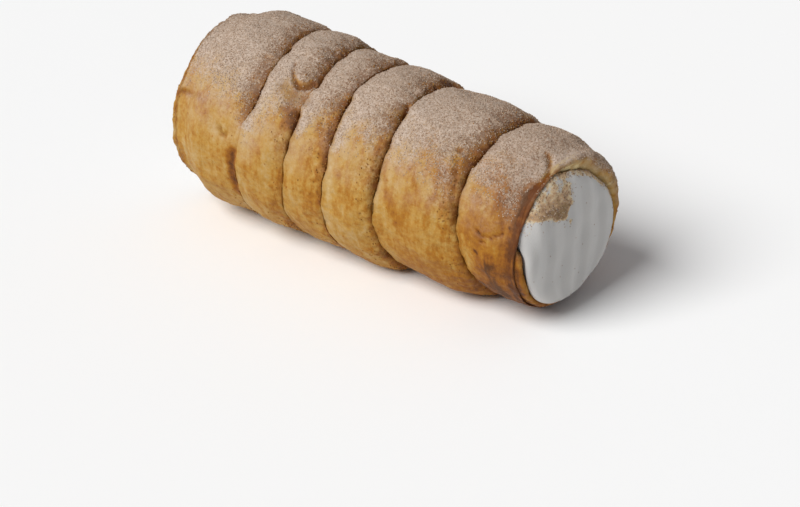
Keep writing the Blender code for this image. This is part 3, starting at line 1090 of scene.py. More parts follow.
        # Each rim's ring starts with the seam's own end; the rest of its corners follow in order of angle.
        self.wide_ids = np.concatenate([self.seam_ids[:1], wide[1:]])
        shift = self.seam_steps % self.per_turn
        self.narrow_ids = np.roll(np.concatenate([self.seam_ids[-1:], narrow[1:]]), shift)
        left = np.where(self.columns < 0, wide[0] + self.columns + self.per_turn, self.columns)
        beyond = self.columns + self.per_turn - self.seam_steps
        right = np.where(beyond > 0, narrow[0] + beyond, self.columns + self.per_turn)
        self.strip_ids = np.column_stack([left, inner.reshape(len(self.columns), -1), right])

    def point_faces(self) -> list[tuple[int, ...]]:
        """Close the strip's two pointed ends on the seam's first and last corners.

        Returns:
            The faces, as corner numbers.
        """
        start, end = int(self.seam_ids[0]), int(self.seam_ids[-1])
        first, last = self.strip_ids[0].tolist(), self.strip_ids[-1].tolist()
        faces = [(start, high, low) for low, high in zip(first, first[1:])]
        return faces + [(low, high, end) for low, high in zip(last, last[1:])]

    def strip_places(self) -> dict[str, Array]:
        """Where every corner of the strip's outside lies round the axis.

        Returns:
            By name, one value for each corner: turns, x, radius, left, right, left_open and right_open.
        """
        w, n, last = self.winding, self.per_turn, self.seam_steps
        seam = np.arange(last + 1) / n
        wide = np.arange(1 - n, 0) / n
        narrow = np.arange(last - n + 1, last) / n
        across = self.section.across(w, self.columns / n)
        across["turns"] = self.columns[:, None] / n + 0.0 * across["x"]
        away = (0.0 * seam, 1.0 + 0.0 * wide, 1.0 + 0.0 * narrow)
        gaping = (w.openness(seam), 0.0 * wide, 0.0 * narrow)
        edges = {
            "turns": (seam, wide, narrow),
            "x": (w.seam_place(seam), w.rim_edge(wide, End.WIDE), w.rim_edge(narrow, End.NARROW)),
            "radius": (w.seam_radius(seam), w.rim_radius(wide, End.WIDE), w.rim_radius(narrow, End.NARROW)),
            "left": away,
            "right": away,
            "left_open": gaping,
            "right_open": gaping,
        }
        return {name: np.concatenate([*values, across[name].ravel()]) for name, values in edges.items()}

    def rim_places(self, end: End) -> tuple[Array, Array, Array]:
        """The rings of a rim's face from outside in: rounded lip, groove, thinner layer and bore.

        Args:
            end: which rim.

        Returns:
            Place along X, radius and share of the way through the crust, with a row for each ring.
        """
        w, out = self.winding, end.value
        turns = np.arange(self.per_turn) / self.per_turn
        angle = w.angle(turns)
        edge, crest = w.rim_edge(turns, end), w.rim_crest(turns, end)
        # The thinner layer and the groove before it show low on the front. Elsewhere the rim is plump.
        shown, pressed = w.low_front(angle), w.pressed(turns, end)
        layer = mix(crest - out * 0.5 * MM, w.layer_edge(turns, end), shown)
        sunk = np.where(out * layer < out * crest, layer, crest) - out * self.groove_depth * shown
        plump = edge + out * mix(mix(self.plump, w.rim_round, shown), w.rim_round, pressed)
        thin = np.maximum(shown, pressed)
        high = ease((turned(angle) - self.gap_from) / self.gap_fade)
        deep = edge - out * mix(self.gap_low, self.gap_high, high)

        def ring(share: float, thin_share: float, back: float, place: Array, gap: Array = deep) -> tuple:
            """A ring's share and X, with where it lies if the rim is plump, shows its layer or is pressed."""
            behind = plump - out * back * MM
            return mix(share, thin_share, thin), mix(mix(behind, place, shown), gap, pressed)

        rows = (
            (1.00 + 0.0 * turns, edge),
            (mix(0.95, 0.975, thin), mix(edge, plump, 0.45)),
            (mix(0.82, 0.95, thin), mix(edge, plump, 0.88)),
            (mix(0.62, 0.90, thin), plump),
            (mix(0.52, 0.86, thin), mix(mix(plump, sunk, 0.5 * shown), plump - out * 0.5 * MM, pressed)),
            (mix(0.44, 0.82, thin), mix(mix(plump, sunk, shown), deep, 0.6 * pressed)),
            ring(0.36, 0.77, 0.2, mix(sunk, layer, 0.6)),
            ring(0.28, 0.68, 0.4, layer),
            ring(0.20, 0.40, 0.8, layer + out * 0.1 * MM),
            ring(0.10, 0.10, 1.4, layer - out * 0.35 * MM),
            ring(0.00, 0.00, 2.4, layer - out * 1.2 * MM, deep - out * 0.3 * MM),
        )
        places = np.linspace(0.0, len(rows) - 1.0, self.rim_rings + 1)[1:]
        share, x = (along(np.stack(values), places) for values in zip(*rows))
        frill = waver(turns, self.frill_waves) * self.rim_frill
        x = x + out * frill * np.sin(math.pi * np.clip(share, 0.0, 1.0))
        radius = mix(w.bore_radius(x, turns), w.rim_radius(turns, end), share)
        return x, radius + w.unevenness(x, angle) * share, share

    def browning(self, at: dict[str, Array]) -> Array:
        """Work out how brown each corner is baked.

        Args:
            at: what strip_places gives, and the angles.

        Returns:
            0 where the crust is butter yellow, up to 1 where it is dark brown.
        """
        turn_of = at["turns"] + 1.0
        pale = self.pale_by * hump(at["left"], 0.0, self.pale_reach)
        patchy = self.lip_stray + waver(at["turns"], self.lip_waves)
        lip = self.lip_by * hump(at["right"], 0.0, self.lip_reach) * patchy
        under = mix(*self.under_by, ease((turn_of - self.under_from) / self.under_turns))
        # Darker towards the underside: partly browning where it lay on the tray, and partly painted shade.
        low = ease(-0.1 - 1.6 * np.cos(at["angle"])) * under
        tone = along(self.turn_tones, turn_of) - pale + low + lip * np.clip(at["right_open"], 0.25, 1.0)
        for mark in (*self.marks, *self.patches):
            tone = tone + mark.strength * mark.nearness(at["x"], at["angle"], at["radius"])
        return tone

    def places(self) -> dict[str, Array]:
        """Where every corner of the strip's outside lies, with the marks cut in, and how it is baked.

        Returns:
            What strip_places gives, and angle, cut, drifted, baked, crease and flank.
        """
        w = self.winding
        at = self.strip_places()
        at["angle"] = w.angle(at["turns"])
        x, angle, radius, right = at["x"], at["angle"], at["radius"], at["right"]
        cuts = (mark.depth * MM * mark.nearness(x, angle, radius) for mark in self.marks)
        at["cut"] = np.maximum.reduce([0.0 * x, *cuts])
        at["drifted"] = sum(drift.strength * drift.nearness(x, angle, radius) for drift in self.drifts)
        at["radius"] = radius - at["cut"] + w.unevenness(x, angle)
        at["baked"] = self.browning(at)
        low = np.maximum(w.low_front(angle), w.pressed(at["turns"], End.NARROW))
        low = low * (at["turns"] > w.seam_turns - 1.0) * (1.0 - at["right_open"]) * (right >= 0.0)
        # Painted shade: in an open seam's crease, on the narrow rim's lip and in tears and dents.
        shades = (
            self.crease_under * hump(at["left"], 0.0, self.crease_reach) * at["left_open"],
            self.crease_lip * hump(right, 0.0, self.crease_reach) * at["right_open"],
            self.rim_shade * low * hump(x, w.rim_edge(at["turns"], End.NARROW), self.rim_shade_reach),
            self.torn_shade * ease(at["cut"] / self.torn_depth),
        )
        at["crease"] = np.clip(np.maximum.reduce(shades), 0.0, 1.0)
        at["flank"] = hump(right, 0.0, self.flank_reach) * np.clip(at["right_open"], 0.0, 1.0)
        return at

    def ring_places(self) -> dict[str, Array]:
        """Where the corners of the two rims and of the bore between them lie, and how they are baked.

        Returns:
            By name, arrays with a row for each ring: angle, x, radius, baked, crease, flank and drifted.
        """
        w = self.winding
        turns = np.arange(self.per_turn) / self.per_turn
        angle = w.angle(turns)
        wide, narrow = self.rim_places(End.WIDE), self.rim_places(End.NARROW)
        bore_x = np.stack([mix(wide[0][-1], narrow[0][-1], share) for share in self.bore_shares])
        bore = (bore_x, w.bore_radius(bore_x, turns), 0.0 * bore_x)
        rings = (wide, bore, tuple(values[::-1] for values in narrow))
        x, radius, share = (np.concatenate(values) for values in zip(*rings))
        # Each ring is 0 for the wide rim, a half in the bore and 1 for the narrow rim.
        side = np.repeat([0.0, 0.5, 1.0], [len(ring[0]) for ring in rings])[:, None]
        shown = w.low_front(angle)
        outer = ease((share - self.pale_inside) / self.pale_fade)
        # The pale top of the narrow face: partly unbrowned dough, and partly a painted highlight.
        raw_and_lit = on_side(angle, self.pale_side, self.pale_spread)
        layered = 0.5 + 0.5 * np.sin(4.0 * share + 27.0 * angle + 2.0 * np.sin(5.0 * angle))
        plain = mix(self.plump_tones[0], self.plump_tones[1] * outer, side)
        # The groove beside the layer is browner: partly real browning, and partly painted shade.
        groove = mix(*self.groove_tones, side) * hump(share, self.groove_share, 0.12) * shown
        baked = mix(plain, mix(*self.layer_tones, side), shown) - self.rim_pale * side * raw_and_lit
        # Painted shade in the groove, on the lip where the cream presses on it and at the bore's edge round the
        # cream.
        crease = self.groove_shade * hump(share, self.groove_share, 0.10) * shown
        crease = crease + self.rim_shade * w.pressed(turns, End.NARROW) * side * outer
        crease = crease + self.bore_shade * (share <= 0.0) * (1.0 - self.bore_bare * raw_and_lit * side)
        caught = mix(self.rim_drift * outer, -self.rim_bare, raw_and_lit)
        return {
            "angle": angle + 0.0 * x,
            "x": x,
            "radius": radius,
            "cut": 0.0 * x,
            "baked": baked + self.leaves * layered + groove,
            "crease": np.clip(crease, 0.0, 1.0),
            "flank": mix(*self.rim_flank, side) + 0.0 * x,
            "drifted": side * mix(caught, self.layer_drift * (share < self.layer_share), shown),
        }

    def base(self) -> Piece:
        """Make the crust before its surface relief.

        Returns:
            The crust, with the attributes that its material, its relief and the dusting read.
        """
        strip, rings = self.places(), self.ring_places()
        at = {name: np.concatenate([strip[name], values.ravel()]) for name, values in rings.items()}
        count = len(rings["x"])
        ids = strip["x"].size + np.arange(count * self.per_turn).reshape(count, -1)
        faces = [quads(self.strip_ids), quads(np.stack([self.wide_ids, *ids, self.narrow_ids]), closed=True)]
        points = self.winding.placed(at["x"], at["radius"], at["angle"])
        piece = mesh_object("pastry_base", points, np.concatenate(faces).tolist() + self.point_faces())
        normals = np.empty(points.size, np.float32)
        piece.data.vertex_normals.foreach_get("vector", normals)
        # The sugar settles by how far each place faces up, on its own and as part of the round horn.
        facing = 0.5 * normals[2::3].astype(float) + 0.5 * np.cos(at["angle"])
        on_rim = np.arange(len(points)) >= strip["x"].size
        torn = ease(at["cut"] / self.torn_from)
        sugar = facing + at["drifted"] - self.rim_less * on_rim - self.torn_less * torn
        settled = ease((sugar - self.dusted_from) / (self.dusted_fully - self.dusted_from))
        crease, flank = at["crease"], at["flank"]
        even, beside, within = self.cinnamon
        thinned = (1.0 - self.crease_sugar * crease) * (1.0 - self.flank_sugar * flank)
        store(
            piece,
            baked=at["baked"],
            crease=crease,
            flank=flank,
            upward=sugar,
            sugar_amount=settled**self.sugar_pace * thinned,
            cinnamon_amount=settled * (even + beside * flank + within * crease),
            crumb_amount=self.crumbs * flank**2,
        )
        return piece

    def build(self, finish: SugaredPastry) -> Piece:
        """Raise the blisters and wrinkles of risen dough on the crust, except where it rests.

        Args:
            finish: what the crust is made of.

        Returns:
            The crust, as a plain mesh piece.
        """
        rows = [("place", "GeometryNodeInputPosition", ())]
        for kind, detail in (("Blister", 2.0), ("Wrinkle", 3.0)):
            rows += [
                ("scale", MATH, (1.0, f"{kind} Size"), "DIVIDE"),
                ("lumps", NOISE, {"Vector": "place", "Scale": "scale", "Detail": detail}),
                ("level", MATH, ("lumps", 0.5), "SUBTRACT"),
                (kind, MATH, ("level", f"{kind} Height"), "MULTIPLY"),
            ]
        rows += [
            ("total", MATH, ("Blister", "Wrinkle"), "ADD"),
            ("up", "ShaderNodeSeparateXYZ", ("place",), {"out": "Z"}),
            ("clear", MAP_RANGE, ("up", 0.0, "Rest Height")),
            ("beside", READ, {"Name": "flank"}, {"data_type": "FLOAT"}),
            ("rougher", MATH, ("beside", "Torn Edge", 1.0), "MULTIPLY_ADD"),
            ("clear", MATH, ("clear", "rougher"), "MULTIPLY"),
            ("held", MATH, ("total", "clear"), "MULTIPLY"),
            ("normal", "GeometryNodeInputNormal", ()),
            ("offset", VECTOR_MATH, {0: "normal", "Scale": "held"}, "SCALE"),
            ("risen", "GeometryNodeSetPosition", {"Geometry": "Geometry", "Offset": "offset"}),
        ]
        base = self.base()
        piece = grown(base, "wound_pastry", dict(self.relief), rows, finish.material())
        bpy.data.objects.remove(base, do_unlink=True)
        return piece


@dataclass(frozen=True)
class WhippedCream:
    """Whipped cream, piped through a star nozzle.

    It is a fine foam, nearly white and soft-edged, because light goes a little way in before it comes back.
    Where the dusting and the butter of the crust touched it, it is stained tan and olive, with a pale yellow
    edge. The olive is partly painted shade.
    """

    # The foam is drawn greyer than fresh cream, as painted shade; the shade colour is painted shade in the
    # grooves.
    foam: str = "#C4C2BF"
    shade: str = "#BBB9B6"
    speck: str = "#7C5C42"
    # From clean foam through its buttery edge and tan to olive, by how soaked it is. The olive is partly
    # painted shade.
    tones: tuple[tuple[float, str], ...] = (
        (0.30, "#C4C2BF"),
        (0.48, "#D6C29C"),
        (0.72, "#BC9B79"),
        (1.0, "#957A57"),
    )
    patterns: tuple[Pattern, ...] = (
        Pattern("blot", 2.2, 5.0, 0.65),
        Pattern("specks", 0.7, 2.0),
        Pattern("bubbles", 0.5, 4.0),
    )
    # How unevenly the stain soaked in, how soaked the foam is where it shows, where its specks lie and how
    # strong they are, and how far it dulls the foam.
    blotted: float = 1.5
    stain_range: Range = (0.34, 0.58, 0.0, 1.0)
    speck_range: Range = (0.54, 0.68, 0.0, 0.8)
    stain_dull: float = 0.25
    bubble_height: float = 0.05 * MM
    roughness: float = 0.55
    foam_index: float = 1.36
    scatter: float = 0.12
    scatter_mm: tuple[float, float, float] = (2.4, 1.9, 1.5)

    def material(self) -> Material:
        """Build the node material, which reads the cream's own attributes and Object coordinates.

        Returns:
            The material.
        """
        made, named = start_material("piped_whipped_cream", ("stain", "groove"), self.patterns)
        rows = (
            ("uneven", MATH, ("blot", 0.5), "SUBTRACT"),
            ("soaked", MATH, ("uneven", self.blotted, "stain"), "MULTIPLY_ADD"),
            ("cover", MAP_RANGE, ("soaked", *self.stain_range), SMOOTH),
            ("tones", RAMP, ("soaked",), {"stops": self.tones}),
            ("speckled", MAP_RANGE, ("specks", *self.speck_range)),
            ("dusted", MIX, {0: "speckled", 6: "tones", 7: linear(self.speck)}, COLOURS),
            # Painted shade in the grooves between the ridges.
            ("clean", MIX, {0: "groove", 6: linear(self.foam), 7: linear(self.shade)}, COLOURS),
            ("colour", MIX, {0: "cover", 6: "clean", 7: "dusted"}, COLOURS),
            ("lift", MATH, ("bubbles", self.bubble_height), "MULTIPLY"),
            ("relief", BUMP, {"Height": "lift", "Strength": 1.0, "Distance": 1.0}),
            ("rough", MATH, ("cover", self.stain_dull, self.roughness), "MULTIPLY_ADD"),
        )
        sockets = {
            "Base Color": "colour",
            "Roughness": "rough",
            "IOR": self.foam_index,
            "Subsurface Weight": self.scatter,
            "Subsurface Radius": tuple(reach * MM for reach in self.scatter_mm),
            "Subsurface Scale": 1.0,
            "Normal": "relief",
        }
        return close_material(made, named, rows, sockets)


@dataclass
class Cream:
    """The piped filling: a core from end to end and, at each end, a plug with ridges that draw together."""

    winding: Winding
    columns: int = 420
    gap: float = 0.25 * MM
    lift: float = 0.15 * MM
    core_shares: tuple[float, ...] = (0.03, 0.5, 0.80, 0.88, 0.93, 0.97)
    face_rings: int = 58
    ring_pace: float = 1.55
    # How far the plug laps over the rim, most of all on one side and, as a share of that, least on the other.
    overhang: float = 1.0 * MM
    overhang_side: float = math.radians(176)
    least_overhang: float = 0.36
    # At its top the narrow end spreads over the pale inner edge of the rim.
    top_overhang: float = 0.8 * MM
    top_side: float = math.radians(2)
    top_reach: float = math.radians(38)
    pressed_out: float = 1.35 * MM
    pressed_back: float = 0.15 * MM
    # How far each end swells, wide and narrow, and how much prouder it is on the front.
    swell: tuple[float, float] = (1.6 * MM, 3.0 * MM)
    proud_side: float = math.radians(78)
    proud_reach: float = math.radians(34)
    proud_by: float = 0.35 * MM
    proud_inside: float = 0.45
    step_angle: float = math.radians(104)
    step_fade: float = 0.12
    below_step: float = 0.2
    shoulder: float = 9.0
    # High on the narrow end the cream slopes back more gently, so that its top catches the light.
    soft_side: float = math.radians(14)
    soft_reach: float = math.radians(46)
    soft_shoulder: float = 2.6
    ridge: float = 0.20 * MM
    ridge_spacing: float = 6.8 * MM
    crest_round: float = 0.10
    ridge_stray: float = 0.10
    # How far the ridges draw together at the foot, and how they stand out at the edge of the face.
    gathered: float = 0.97
    least_gather: float = 0.02
    edge_ridge: float = 0.55
    edge_notch: float = 0.018
    flutter: float = 0.30 * MM
    # The stained corner: its right edge, its lower edge and that edge's slope, as shares of the bore's
    # radius, over what its edges fade, and how strong it is at its pale top.
    stain_side: float = 0.12
    stain_foot: float = 0.27
    stain_slope: float = 0.34
    stain_fade: float = 0.16
    foot_fade: float = 0.14
    stain_pale: float = 0.46
    stain_relief: float = 0.16 * MM
    # The crescent of dusting on the top of the wide end: how strong it is and where it starts.
    crescent: float = 0.75
    crescent_from: float = 0.62
    crescent_fade: float = 0.2
    # Butter from the crust has soaked into the rim of the face, this strongly, from this share of its radius.
    butter: float = 0.58
    butter_from: float = 0.89
    butter_fade: float = 0.05
    edge_only: float = 7.0
    # How thickly sugar and cinnamon lie on the stain, and how much cinnamon strays over the rest.
    stain_sugar: float = 0.5
    stain_cinnamon: float = 1.2
    stray_cinnamon: float = 0.02

    def mouth(self, turns: Array, end: End) -> Array:
        """Where the cream leaves the crust, just clear of the rim and of the layer inside it.

        Args:
            turns: places along the strip, which give the angles round the horn.
            end: which end.

        Returns:
            The place along X at each.
        """
        crest, layer = self.winding.rim_crest(turns, end), self.winding.layer_edge(turns, end)
        further = np.maximum(crest, layer) if end is End.NARROW else np.minimum(crest, layer)
        back = self.winding.rim_edge(turns, end) - end.value * self.pressed_back
        return mix(further + end.value * self.lift, back, self.winding.pressed(turns, end))

    def ridges(self, side: Array, up: Array) -> Array:
        """Height of the piped ridges, sharp at their crests and round in their grooves, from 0 to 1.

        Args:
            side: places across the end, as shares of its radius.
            up: places up it.

        Returns:
            The height, which falls where the ridges draw together at the foot.
        """
        foot = ease(0.1 - 0.9 * up) * up
        gather = np.sqrt(np.maximum(1.0 - self.gathered * foot * foot, self.least_gather))
        spacing = self.ridge_spacing / self.winding.bore_narrow * gather
        phase = side / spacing + self.ridge_stray * np.sin(3.0 * up + 0.6)
        off = np.abs(phase - np.round(phase))
        return gather * (1.0 - np.sqrt(np.sin(math.pi * off) ** 2 + self.crest_round**2))

    def stained(self, side: Array, up: Array, end: End) -> Array:
        """How stained each place on an end is: most low in the stained corner, where its olive is partly
        painted shade, and least at its pale top.

        Args:
            side: places across the end, as shares of its radius.
            up: places up it.
            end: which end.

        Returns:
            The stain, from 0 to 1.
        """
        if end is End.WIDE:
            return self.crescent * ease((up - self.crescent_from) / self.crescent_fade) + 0.0 * side
        ragged = 0.05 * np.sin(9.0 * up + 1.0) + 0.03 * np.sin(23.0 * up + 11.0 * side)
        right_edge = ease((side - self.stain_side + ragged) / self.stain_fade + 0.5)
        foot = self.stain_foot + self.stain_slope * (side - self.stain_side)
        foot_edge = ease((up - foot + 0.6 * ragged) / self.foot_fade + 0.5)
        corner = right_edge * foot_edge * mix(self.stain_pale, 1.0, ease((1.0 - up - 0.25 * side) / 0.5))
        rim = ease((np.hypot(side, up) - self.butter_from) / self.butter_fade)
        rim = rim * ease(1.0 + 2.0 * up - 1.6 * side)
        return np.maximum(corner, self.butter * rim)

    def bulge(self, reach: Array, angle: Array, end: End) -> Array:
        """How far an end stands out along X, before its ridges: full and square, with a soft, proud front.

        Args:
            reach: shares of the way from its middle to its edge.
            angle: angles round it.
            end: which end.

        Returns:
            The distance in metres at each place.
        """
        proud = self.proud_by * on_side(angle, self.proud_side, self.proud_reach)
        proud = proud * ease((reach - self.proud_inside) / (1.0 - self.proud_inside) * 2.0)
        if end is End.WIDE:
            return (self.swell[0] + proud) * (1.0 - reach**self.shoulder) ** 0.5
        proud = proud * mix(1.0, self.below_step, ease(turned(angle - self.step_angle) / self.step_fade))
        soft = on_side(angle, self.soft_side, self.soft_reach)
        return (self.swell[1] + proud) * (1.0 - reach ** mix(self.shoulder, self.soft_shoulder, soft)) ** 0.5

    def end_face(self, end: End) -> dict[str, Array]:
        """One end of the cream, from its neck to its middle.

        Args:
            end: which end.

        Returns:
            By name, arrays with a row for each ring: the points, and how stained and how deep in a groove
            each is.
        """
        w = self.winding
        turns = np.arange(self.columns) / self.columns
        angle = w.angle(turns)
        mouth = self.mouth(turns, end)
        inside = w.bore_radius(mouth, turns) - self.gap
        low = toward(angle, self.overhang_side)
        edge = inside + self.overhang * mix(self.least_overhang, 1.0, low * low)
        edge = edge + self.pressed_out * w.pressed(turns, end)
        if end is End.NARROW:
            edge = edge + self.top_overhang * on_side(angle, self.top_side, self.top_reach)

        # Its looks: ridges, the stain and the crust that dried on it, and a gentle flutter.
        reach = 1.0 - (np.linspace(0.0, 1.0, self.face_rings + 1)[:-1] ** self.ring_pace)[:, None]
        side, up = reach * np.sin(angle), reach * np.cos(angle)
        height, stain = self.ridges(side, up), self.stained(side, up, end)
        inward = 1.0 - reach
        ridge = self.ridge * height * ease(7.0 * inward) * mix(self.edge_ridge, 1.0, ease(4.0 * inward))
        crusted = self.stain_relief * stain * np.sin(39.0 * side + 5.0 * up) * np.sin(33.0 * up - 7.0 * side)
        flutter = self.flutter * np.sin(9.0 * side + 4.0 * up) * np.sin(6.0 * up - 2.0 * side + 1.0)
        relief = ridge + flutter * ease(3.0 * inward) + crusted

        # Its edge follows the mouth, which its middle doesn't, but for the way that the mouth leans.
        middle = float(np.mean(mouth))
        lean = sum(2.0 * np.mean(mouth * way(angle)) * way(angle) for way in (np.cos, np.sin))
        flat = middle + lean * reach + (mouth - middle - lean) * reach**self.edge_only
        x = flat + end.value * (self.bulge(reach, angle, end) + relief)
        radius = edge * reach * (1.0 + self.edge_notch * height * reach)
        hub = w.axis_height(mouth)
        height_up = mix(float(np.mean(hub)), hub, reach) + radius * np.cos(angle)
        points = np.stack([x + w.shift(), -radius * np.sin(angle), height_up], axis=-1)
        return {
            "points": np.concatenate([w.placed(mouth, inside, angle)[None], points]),
            "stain": np.concatenate([stain[:1], stain]),
            "groove": np.concatenate([0.0 * height[:1], ease(1.0 - 1.6 * height)]),
        }

    def core(self) -> dict[str, Array]:
        """The cream between its two ends.

        Returns:
            What end_face gives, without a stain or a groove.
        """
        w = self.winding
        turns = np.arange(self.columns) / self.columns
        mouths = self.mouth(turns, End.WIDE), self.mouth(turns, End.NARROW)
        x = np.stack([mix(*mouths, share) for share in self.core_shares])
        points = w.placed(x, w.bore_radius(x, turns) - self.gap, w.angle(turns))
        return {"points": points, "stain": 0.0 * x, "groove": 0.0 * x}

    def build(self, finish: WhippedCream) -> Piece:
        """Make the cream.

        Args:
            finish: what it is made of.

        Returns:
            The finished piece.
        """
        wide, core, narrow = self.end_face(End.WIDE), self.core(), self.end_face(End.NARROW)
        rows, stain, groove = (np.concatenate([wide[name][::-1], core[name], narrow[name]]) for name in core)
        tips = np.stack([rows[0].mean(axis=0), rows[-1].mean(axis=0)])
        ids = np.arange(stain.size).reshape(stain.shape)
        faces = quads(ids, closed=True).tolist()
        for tip, ring in zip((ids.size, ids.size + 1), (ids[0].tolist(), ids[-1].tolist())):
            faces += [(tip, here, there) for here, there in zip(ring, [*ring[1:], ring[0]])]
        piece = mesh_object("piped_cream", np.concatenate([rows.reshape(-1, 3), tips]), faces)
        stain, groove = (np.append(values.ravel(), [0.0, 0.0]) for values in (stain, groove))
        cinnamon = self.stray_cinnamon + self.stain_cinnamon * stain
        store(
            piece, stain=stain, groove=groove, sugar_amount=self.stain_sugar * stain, cinnamon_amount=cinnamon
        )
        piece.data.materials.append(finish.material())
        return piece


@dataclass(frozen=True)
class Grain:
    """One kind of topping: what it is, how big and how thickly it lies."""

    name: str
    amount: str
    colours: tuple[str, str]
    size: float
    flatness: float
    per_square_mm: float
    seed: int
    roughness: float
    index: float = 1.5
    gloss: float = 0.15
    clouded: float = 0.4

    def material(self) -> Material:
        """Build the grain's material, in which each grain takes its own shade between two colours.

        Returns:
            The material.
        """
        cloud = Pattern("cloud", 0.5 * self.size / MM, 2.0)
        made, named = start_material(self.name, ("grain_shade",), (cloud,))
        pale, dark = (linear(colour) for colour in self.colours)
        rows = (
            ("share", MATH, ("cloud", self.clouded, "grain_shade"), "MULTIPLY_ADD"),
            ("colour", MIX, {0: "share", 6: pale, 7: dark}, COLOURS),
        )
        sockets = {"Base Color": "colour", "Roughness": self.roughness, "IOR": self.index}
        return close_material(made, named, rows, {**sockets, "Specular IOR Level": self.gloss})


@dataclass
class Dusting:
    """The cinnamon sugar on the crust and on the stained corner of the cream, and a few crumbs of crust.

    The grains are drawn a little coarser than the finest real ones, so that they show.
    """

    grains: tuple[Grain, ...] = (
        Grain("sugar_crystals", "sugar_amount", ("#AA9581", "#C0AE9C"), 0.24 * MM, 0.85, 2.4, 11, 0.8),
        Grain("cinnamon_sugar", "sugar_amount", ("#927864", "#AE9580"), 0.24 * MM, 0.80, 1.9, 23, 0.8),
        Grain("cinnamon_specks", "cinnamon_amount", ("#7C5E48", "#98785F"), 0.22 * MM, 0.55, 1.4, 37, 0.8),
        Grain("crust_crumbs", "crumb_amount", ("#6B3F14", "#9C6E36"), 0.33 * MM, 0.60, 0.9, 51, 0.7),
    )
    clump_size: float = 3.2 * MM
    # Where the clumps lie, with how thickly between them and in them, and the grains' least and most girths.
    clump_range: Range = (0.34, 0.66, 0.45, 1.5)
    least_girth: tuple[float, float, float] = (0.6, 0.6, 0.6)
    most_girth: tuple[float, float, float] = (1.3, 1.15, 1.1)

    def strewn(self, grain: Grain, crust: Piece, cream: Piece) -> Piece:
        """Strew one kind of grain over the crust and the cream.

        Args:
            grain: the kind.
            crust: the finished crust.
            cream: the finished cream.

        Returns:
            The grains, as one plain mesh piece.
        """
        vector, number = {"data_type": "FLOAT_VECTOR"}, {"data_type": "FLOAT"}
        strewing = {"Mesh": "both", "Density": "density", "Seed": "Seed"}
        girths = {0: self.least_girth, 1: self.most_girth, "Seed": "Seed"}
        laying = {"Points": "points", "Instance": "crystal", "Rotation": "lay", "Scale": "size"}
        shading = {"Geometry": "laid", "Name": "grain_shade", "Value": "tone"}
        rows = (
            ("other", "GeometryNodeObjectInfo", {"Object": "Other Surface"}, {"out": "Geometry"}),
            ("both", "GeometryNodeJoinGeometry", {0: ["Geometry", "other"]}),
            ("amount", READ, {"Name": grain.amount}, number),
            ("place", "GeometryNodeInputPosition", ()),
            ("scale", MATH, (1.0, "Clump Size"), "DIVIDE"),
            ("clumps", NOISE, {"Vector": "place", "Scale": "scale", "Detail": 3.0}),
            ("thickness", MAP_RANGE, ("clumps", *self.clump_range)),
            ("share", MATH, ("amount", "thickness"), "MULTIPLY"),
            ("density", MATH, ("share", "Grains Per Square Metre"), "MULTIPLY"),
            ("points", "GeometryNodeDistributePointsOnFaces", strewing, {"distribute_method": "RANDOM"}),
            ("lay", RANDOM, {1: (math.tau, math.tau, math.tau), "Seed": "Seed"}, vector),
            ("girth", RANDOM, girths, vector),
            ("thin", "ShaderNodeCombineXYZ", (1.0, 1.0, "Flatness")),
            ("shape", VECTOR_MATH, ("girth", "thin"), "MULTIPLY"),
            ("size", VECTOR_MATH, {0: "shape", "Scale": "Grain Size"}, "SCALE"),
            ("crystal", "GeometryNodeMeshCube", {"Size": (1.0, 1.0, 1.0)}),
            ("laid", "GeometryNodeInstanceOnPoints", laying),
            ("tone", RANDOM, {"Seed": "Seed"}, {**number, "out": 1}),
            ("shaded", "GeometryNodeStoreNamedAttribute", shading, {**number, "domain": "INSTANCE"}),
        )
        values = {
            "Other Surface": cream,
            "Grains Per Square Metre": grain.per_square_mm / MM**2,
            "Grain Size": grain.size,
            "Flatness": grain.flatness,
            "Clump Size": self.clump_size,
            "Seed": grain.seed,
        }
        return grown(crust, grain.name, values, rows, grain.material())

    def build(self, crust: Piece, cream: Piece) -> list[Piece]:
        """Strew every kind of grain over the finished crust and cream, as one piece for each kind."""
        return [self.strewn(grain, crust, cream) for grain in self.grains]


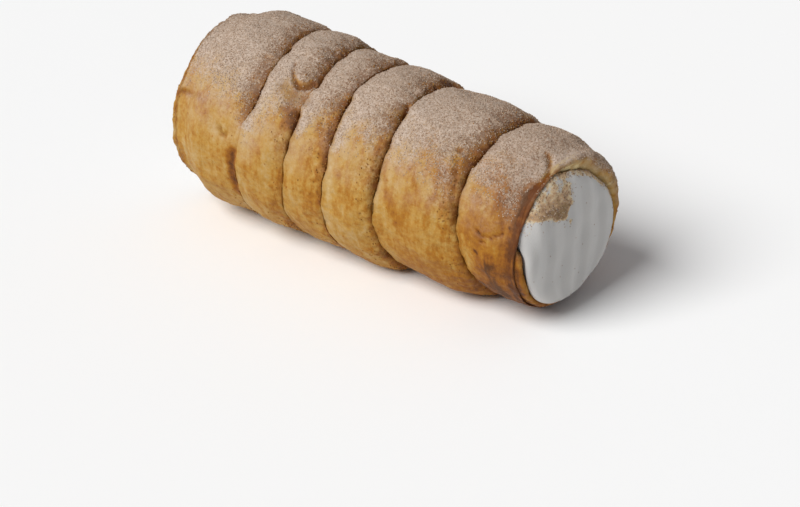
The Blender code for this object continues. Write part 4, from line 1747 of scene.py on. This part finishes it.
@dataclass
class Studio:
    """The floor, the lights and the camera."""

    floor_size: float = 6.0
    floor_colour: str = "#FAFAF9"
    floor_roughness: float = 0.9
    floor_gloss: float = 0.2
    sky_colour: str = "#FBFBFF"
    sky_strength: float = 0.25
    key_azimuth: float = math.radians(-20)
    key_height: float = math.radians(46)
    key_strength: float = 3.2
    key_softness: float = math.radians(38)
    camera_azimuth: float = math.radians(38)
    camera_height: float = math.radians(30)
    camera_distance: float = 0.644
    camera_aim: tuple[float, float, float] = (0.0024, 0.0, -0.0025)
    lens: float = 110.0

    @staticmethod
    def direction(azimuth: float, height: float) -> Vector:
        """The way towards a place seen at this azimuth, counted from -Y towards +X, and at this height."""
        flat = math.cos(height)
        return Vector((math.sin(azimuth) * flat, -math.cos(azimuth) * flat, math.sin(height)))

    def floor(self) -> Piece:
        """Lay a plain pale board, matt all over, at the height of the horn's resting spots.

        Returns:
            The board.
        """
        reach = self.floor_size / 2
        corners = [(-reach, -reach, 0), (reach, -reach, 0), (reach, reach, 0), (-reach, reach, 0)]
        data = bpy.data.meshes.new("floor")
        data.from_pydata(corners, [], [(0, 1, 2, 3)])
        piece = bpy.data.objects.new("floor", data)
        bpy.context.scene.collection.objects.link(piece)
        made, named = start_material("matt_white_board", (), ())
        sockets = {"Base Color": linear(self.floor_colour), "Roughness": self.floor_roughness}
        sockets["Specular IOR Level"] = self.floor_gloss
        data.materials.append(close_material(made, named, (), sockets))
        return piece

    def lights(self) -> None:
        """Set one wide, soft key light to the front left, with a pale sky all round."""
        world = bpy.data.worlds.new("pale_sky")
        world.use_nodes = True
        sky = world.node_tree.nodes["Background"]
        sky.inputs["Color"].default_value = linear(self.sky_colour)
        sky.inputs["Strength"].default_value = self.sky_strength
        bpy.context.scene.world = world
        data = bpy.data.lights.new("soft_key", "SUN")
        data.energy = self.key_strength
        data.angle = self.key_softness
        lamp = bpy.data.objects.new("soft_key", data)
        way = self.direction(self.key_azimuth, self.key_height)
        lamp.rotation_euler = way.to_track_quat("Z", "Y").to_euler()
        bpy.context.scene.collection.objects.link(lamp)

    def camera(self) -> None:
        """Place the camera and make it the scene's."""
        data = bpy.data.cameras.new("camera")
        data.lens = self.lens
        camera = bpy.data.objects.new("camera", data)
        way = self.direction(self.camera_azimuth, self.camera_height)
        camera.location = Vector(self.camera_aim) + way * self.camera_distance
        camera.rotation_euler = way.to_track_quat("Z", "Y").to_euler()
        bpy.context.scene.collection.objects.link(camera)
        bpy.context.scene.camera = camera

    def build(self) -> None:
        """Set up the whole studio."""
        self.floor()
        self.lights()
        self.camera()
        bpy.context.scene.view_settings.view_transform = "Standard"


def main() -> None:
    """Build the horn and the studio."""
    logging.basicConfig(level=logging.INFO, format="%(name)s: %(message)s")
    winding = Winding()
    crust = Crust(winding).build(SugaredPastry())
    cream = Cream(winding).build(WhippedCream())
    toppings = Dusting().build(crust, cream)
    hand_over(crust, ["pastry_shell"])
    hand_over(cream, ["cream_filling"])
    for topping in toppings:
        hand_over(topping)
    Studio().build()


if __name__ == "__main__":
    main()
